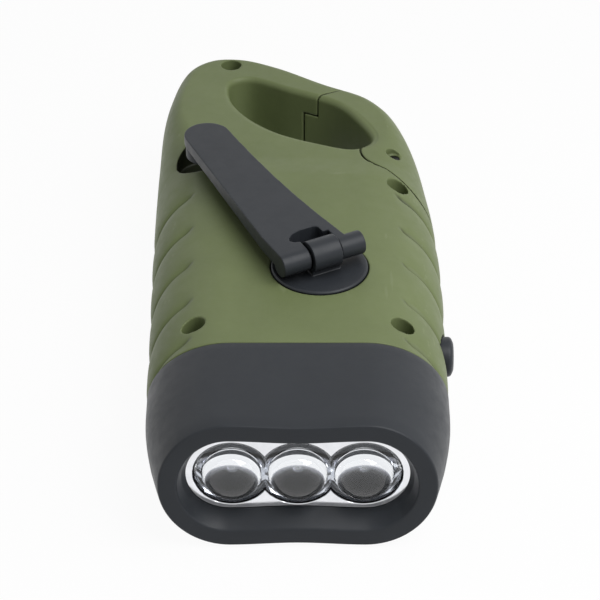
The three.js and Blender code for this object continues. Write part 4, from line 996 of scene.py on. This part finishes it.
def plastic(name, colour, roughness, grain, specular=0.5, edge_colour=None, reach=3.0, shaded_grooves=False):
    """Moulded plastic: a fine spark-eroded grain and faint clouding. With a colour for its sharp
    edges it also gets painted shade in its hollows, and a flag for the shells adds painted shade
    in their grooves and stow hole."""
    n = Nodes(name)
    cloud = n.noise(14.0, 3.0, 0.6)
    speck = n.noise(0.9, 2.0, 0.6)
    body = n.ramp(cloud, [(0.3, scaled(colour, 0.94)), (0.7, scaled(colour, 1.06))])
    body = n.mix(n.to_range(speck, 0.0, 0.1), body, scaled(colour, 1.25))
    if edge_colour:
        # Sharp outward edges take the edge colour.
        edge = n.add("ShaderNodeNewGeometry").outputs["Pointiness"]
        body = n.mix(n.to_range(edge, 0.0, 0.4, 0.52, 0.6), body, edge_colour)
        # Painted shade in hollows and creases, from ambient occlusion.
        body = n.mix(n.to_range(n.hollow(reach), 0.85, 0.0, 0.3, 0.85), body, scaled(colour, 0.18))
    if shaded_grooves:
        # Painted shade along the shells' creases.
        crease = n.add("ShaderNodeAttribute", attribute_name="crease").outputs["Fac"]
        body = n.mix(n.calc("MULTIPLY", crease, 0.95), body, scaled(colour, 0.2))
        # Painted shade down in the stow hole.
        body = n.mix(n.stow_hole_shade(), body, scaled(colour, 0.1))
    fine = n.bump(n.noise(0.22, 2.0, 0.6), grain, 0.7)
    normal = n.bump(n.noise(1.6, 2.0, 0.5), grain * 0.8, 0.5, fine)
    rough = n.to_range(n.noise(2.4, 3.0, 0.6), roughness - 0.05, roughness + 0.06)
    return n.set(Base_Color=body, Roughness=rough, Normal=normal, Specular_IOR_Level=specular)


def chrome(name):
    """Metallised plastic with painted shade: near black in the gap round each lens, dimmer inside
    the cups and darker still deep in them.
    """
    n = Nodes(name)
    haze = n.noise(3.0, 2.0)
    colour = n.ramp(haze, [(0.3, (0.78, 0.79, 0.82)), (0.7, (0.88, 0.89, 0.92))])
    radius = n.lamp_radius()
    past_rim = n.to_range(radius, 0.0, 1.0, LENS_RIM_RADIUS + 0.02, LENS_RIM_RADIUS + 0.06)
    in_seat = n.to_range(radius, 1.0, 0.0, LENS_SEAT_RADIUS + 0.02, LENS_SEAT_RADIUS + 0.08)
    in_cup = n.to_range(radius, 1.0, 0.0, CUP_MOUTH_RADIUS + 0.05, CUP_MOUTH_RADIUS + 0.2)
    # Painted shade: near black in the gap between each lens rim and its seat.
    colour = n.mix(n.calc("MULTIPLY", past_rim, in_seat), colour, (0.02, 0.02, 0.022))
    # Painted shade: dimmer within the cup mouths, darker deep in the cups.
    colour = n.mix(in_cup, colour, (0.42, 0.42, 0.47))
    colour = n.mix(n.behind(CUP_FRONT_Y + 1.2, 1.6), colour, (0.06, 0.063, 0.07))
    ripple = n.bump(n.noise(2.2, 1.0), 0.004, 0.5)
    rough = n.to_range(haze, 0.05, 0.13)
    return n.set(Base_Color=colour, Metallic=1.0, Roughness=rough, Normal=ripple)


def clear_plastic(name):
    """Clear plastic with a faint haze, and painted shade that darkens it behind the cups' front.
    """
    n = Nodes(name)
    tint = (0.93, 0.95, 0.98)
    haze = n.noise(4.0, 2.0)
    colour = n.ramp(haze, [(0.3, scaled(tint, 0.97)), (0.7, tint)])
    # Painted shade on what lies deep in the cups.
    colour = n.mix(n.behind(CUP_FRONT_Y + 1.5, 0.5), colour, (0.3, 0.31, 0.33))
    ripple = n.bump(n.noise(3.0, 1.0), 0.003, 0.4)
    rough = n.to_range(haze, 0.0, 0.02)
    n.set(Base_Color=colour, Roughness=rough, Normal=ripple)
    return n.set(Transmission_Weight=1.0, IOR=1.49)


def metal(name, colour, roughness):
    """Finely mottled metal, with painted shade in its hollows."""
    n = Nodes(name)
    mottle = n.noise(0.4, 3.0, 0.6)
    tone = n.ramp(mottle, [(0.3, scaled(colour, 0.85)), (0.7, colour)])
    # Painted shade in the hollows.
    tone = n.mix(n.to_range(n.hollow(3.0), 0.9, 0.0, 0.45, 0.8), tone, scaled(colour, 0.08))
    rough = n.to_range(mottle, roughness - 0.06, roughness + 0.08)
    return n.set(Base_Color=tone, Metallic=1.0, Roughness=rough, Normal=n.bump(mottle, 0.01, 0.4))


WIRE_PITCH = 0.3


def windings(name):
    """Enamelled wire laid in turns round the coil's upright axis."""
    n = Nodes(name)
    wave = n.add("ShaderNodeTexWave", bands_direction="Z")
    wave.inputs["Scale"].default_value = 1000 / WIRE_PITCH / 6.28
    wave.inputs["Distortion"].default_value = 0.4
    n.link(n.place, wave.inputs["Vector"])
    wire = wave.outputs["Fac"]
    tone = n.ramp(wire, [(0.1, (0.1, 0.03, 0.012)), (0.6, (0.42, 0.16, 0.06))])
    return n.set(Base_Color=tone, Metallic=0.8, Roughness=0.32, Normal=n.bump(wire, 0.08, 0.8))


def board_mask(name):
    """Green solder mask over a faint weave and tinned spots."""
    n = Nodes(name)
    weave = n.noise(0.5, 1.0, 0.5, (1, 3, 1))
    cells = n.add("ShaderNodeTexVoronoi")
    cells.inputs["Scale"].default_value = 600
    n.link(n.place, cells.inputs["Vector"])
    spots = n.to_range(cells.outputs["Distance"], 1.0, 0.0, 0.16, 0.2)
    green = n.ramp(weave, [(0.3, (0.01, 0.08, 0.025)), (0.7, (0.016, 0.12, 0.04))])
    tone = n.mix(spots, green, (0.55, 0.56, 0.58))
    return n.set(Base_Color=tone, Roughness=0.35, Normal=n.bump(weave, 0.02, 0.4))


def shrink_wrap(name):
    """The cells' shrink sleeve, finely creased."""
    n = Nodes(name)
    crease = n.noise(2.2, 3.0, 0.6, (4, 1, 1))
    tone = n.ramp(crease, [(0.3, (0.02, 0.07, 0.24)), (0.7, (0.03, 0.1, 0.34))])
    return n.set(Base_Color=tone, Roughness=0.28, Normal=n.bump(crease, 0.05, 0.6))


OLIVE, OLIVE_EDGE = (0.155, 0.19, 0.082), (0.21, 0.245, 0.13)
BLACK, BLACK_EDGE = (0.027, 0.0305, 0.036), (0.026, 0.0285, 0.032)
LOOKS = {
    "olive_plastic": plastic("olive_plastic", OLIVE, 0.48, 0.02, 0.28, OLIVE_EDGE, 1.6, True),
    "black_plastic": plastic("black_plastic", BLACK, 0.4, 0.012, 0.22, BLACK_EDGE),
    "chrome": chrome("chrome"),
    "clear_plastic": clear_plastic("clear_plastic"),
    "steel": metal("steel", (0.52, 0.53, 0.55), 0.32),
    "dark_steel": metal("dark_steel", (0.07, 0.071, 0.074), 0.45),
    "nylon": plastic("nylon", (0.72, 0.7, 0.63), 0.45, 0.01),
    "magnet": metal("magnet", (0.16, 0.165, 0.17), 0.5),
    "copper": windings("copper"),
    "board": board_mask("board"),
    "cell": shrink_wrap("cell"),
}


# ---------------------------------------------------------------- pieces on their bodies
def dress(obj, body, nodes, slot):
    """Puts a piece on its body in place of its CAD nodes, with its slot's look."""
    obj.data.materials.clear()
    obj.data.materials.append(LOOKS[slot])
    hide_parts(*nodes)
    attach(obj, body)


dress(shell("shell_top", "top_shell", 1), "case", ["top_shell"], "olive_plastic")
dress(shell("shell_bottom", "bottom_shell", -1), "case", ["bottom_shell"], "olive_plastic")
dress(gate("gate_moulding"), "gate", ["loop_gate"], "olive_plastic")
dress(bezel("bezel_moulding"), "case", ["head_bezel"], "black_plastic")
dress(reflector("reflector_plate"), "case", ["reflector"], "chrome")
dress(lens_array("lens_moulding"), "case", ["lens_array"], "clear_plastic")
dress(hub("hub_moulding"), "crank", ["crank_hub"], "black_plastic")
dress(arm("arm_moulding"), "arm", ["crank_arm"], "black_plastic")
dress(knob("knob_moulding"), "knob", ["crank_knob"], "black_plastic")
dress(button("button_cap"), "button", ["side_button"], "black_plastic")
for lamp, lamp_x in zip(("led_left", "led_centre", "led_right"), LENS_XS):
    dress(led(lamp + "_bulb", lamp_x), "case", [lamp], "clear_plastic")

for part in frame["record"]["subparts"]:
    carried = NODES[part["node"]]
    look = "dark_steel" if part["node"] == "gate_pin" else part["material_slot"]
    carried.data.materials.clear()
    carried.data.materials.append(LOOKS[look])


# ---------------------------------------------------------------- floor, light and camera
AMBIENT = 0.22
FLOOR_REACH = 3000.0
FLOOR_GLOW = 0.95
KEY_PLACE, KEY_AIM = (0.2, -0.14, 0.36), (0, -0.01, 0.02)
KEY_SIZE, KEY_POWER = 0.34, 1.6
CAMERA_PLACE = (0.0004, -0.39733, 0.28516)
CAMERA_TILT = 55.0
CAMERA_LENS = 137.4


def when_seen(tree, otherwise):
    """1 for camera, glossy and transmission rays, and otherwise a given strength."""
    rays = tree.nodes.new("ShaderNodeLightPath").outputs
    strength = otherwise
    for kind in ("Is Camera Ray", "Is Glossy Ray", "Is Transmission Ray"):
        node = tree.nodes.new("ShaderNodeMath")
        node.operation = "MAXIMUM"
        fill(tree, node.inputs[0], rays[kind])
        fill(tree, node.inputs[1], strength)
        strength = node.outputs[0]
    return strength


def floor():
    """A plain white floor that glows for the rays that see it."""
    signs = ((-1, -1), (1, -1), (1, 1), (-1, 1))
    corners = [(x * FLOOR_REACH, y * FLOOR_REACH + LENGTH / 2, 0) for x, y in signs]
    obj = mesh_piece("floor", corners, [(0, 1, 2, 3)])
    n = Nodes("floor_white")
    grain = n.noise(40.0, 2.0)
    colour = n.ramp(grain, [(0.3, (0.9, 0.9, 0.9)), (0.7, (0.93, 0.93, 0.93))])
    n.set(Base_Color=colour, Roughness=0.9, Specular_IOR_Level=0.1)
    glow = n.add("ShaderNodeEmission")
    mixed = n.add("ShaderNodeMixShader")
    n.link(n.calc("MULTIPLY", when_seen(n.tree, 0.0), FLOOR_GLOW), mixed.inputs[0])
    n.link(n.shader.outputs[0], mixed.inputs[1])
    n.link(glow.outputs[0], mixed.inputs[2])
    n.link(mixed.outputs[0], n.tree.nodes["Material Output"].inputs["Surface"])
    obj.data.materials.append(n.material)


def surroundings():
    """White all round as the camera, gloss and glass see it, and softer as light."""
    world = bpy.data.worlds.new("studio")
    bpy.context.scene.world = world
    world.use_nodes = True
    tree = world.node_tree
    background = tree.nodes["Background"]
    tree.links.new(when_seen(tree, AMBIENT), background.inputs["Strength"])
    background.inputs["Color"].default_value = (1, 1, 1, 1)


def soft_box(name, place, aim, size, power):
    """A square lamp of size metres and power watts, turned to aim."""
    data = bpy.data.lights.new(name, "AREA")
    data.size = size
    data.energy = power
    obj = bpy.data.objects.new(name, data)
    obj.location = place
    obj.rotation_euler = (Vector(aim) - Vector(place)).to_track_quat("-Z", "Y").to_euler()
    bpy.context.scene.collection.objects.link(obj)


def camera():
    """The photograph's camera, as fitted to its outlines."""
    data = bpy.data.cameras.new("camera")
    data.sensor_width = 36.0
    data.sensor_fit = "HORIZONTAL"
    data.lens = CAMERA_LENS
    obj = bpy.data.objects.new("camera", data)
    obj.location = CAMERA_PLACE
    obj.rotation_euler = (math.radians(CAMERA_TILT), 0, 0)
    bpy.context.scene.collection.objects.link(obj)
    bpy.context.scene.camera = obj


floor()
surroundings()
soft_box("key", KEY_PLACE, KEY_AIM, KEY_SIZE, KEY_POWER)
camera()
bpy.context.scene.view_settings.view_transform = "Standard"
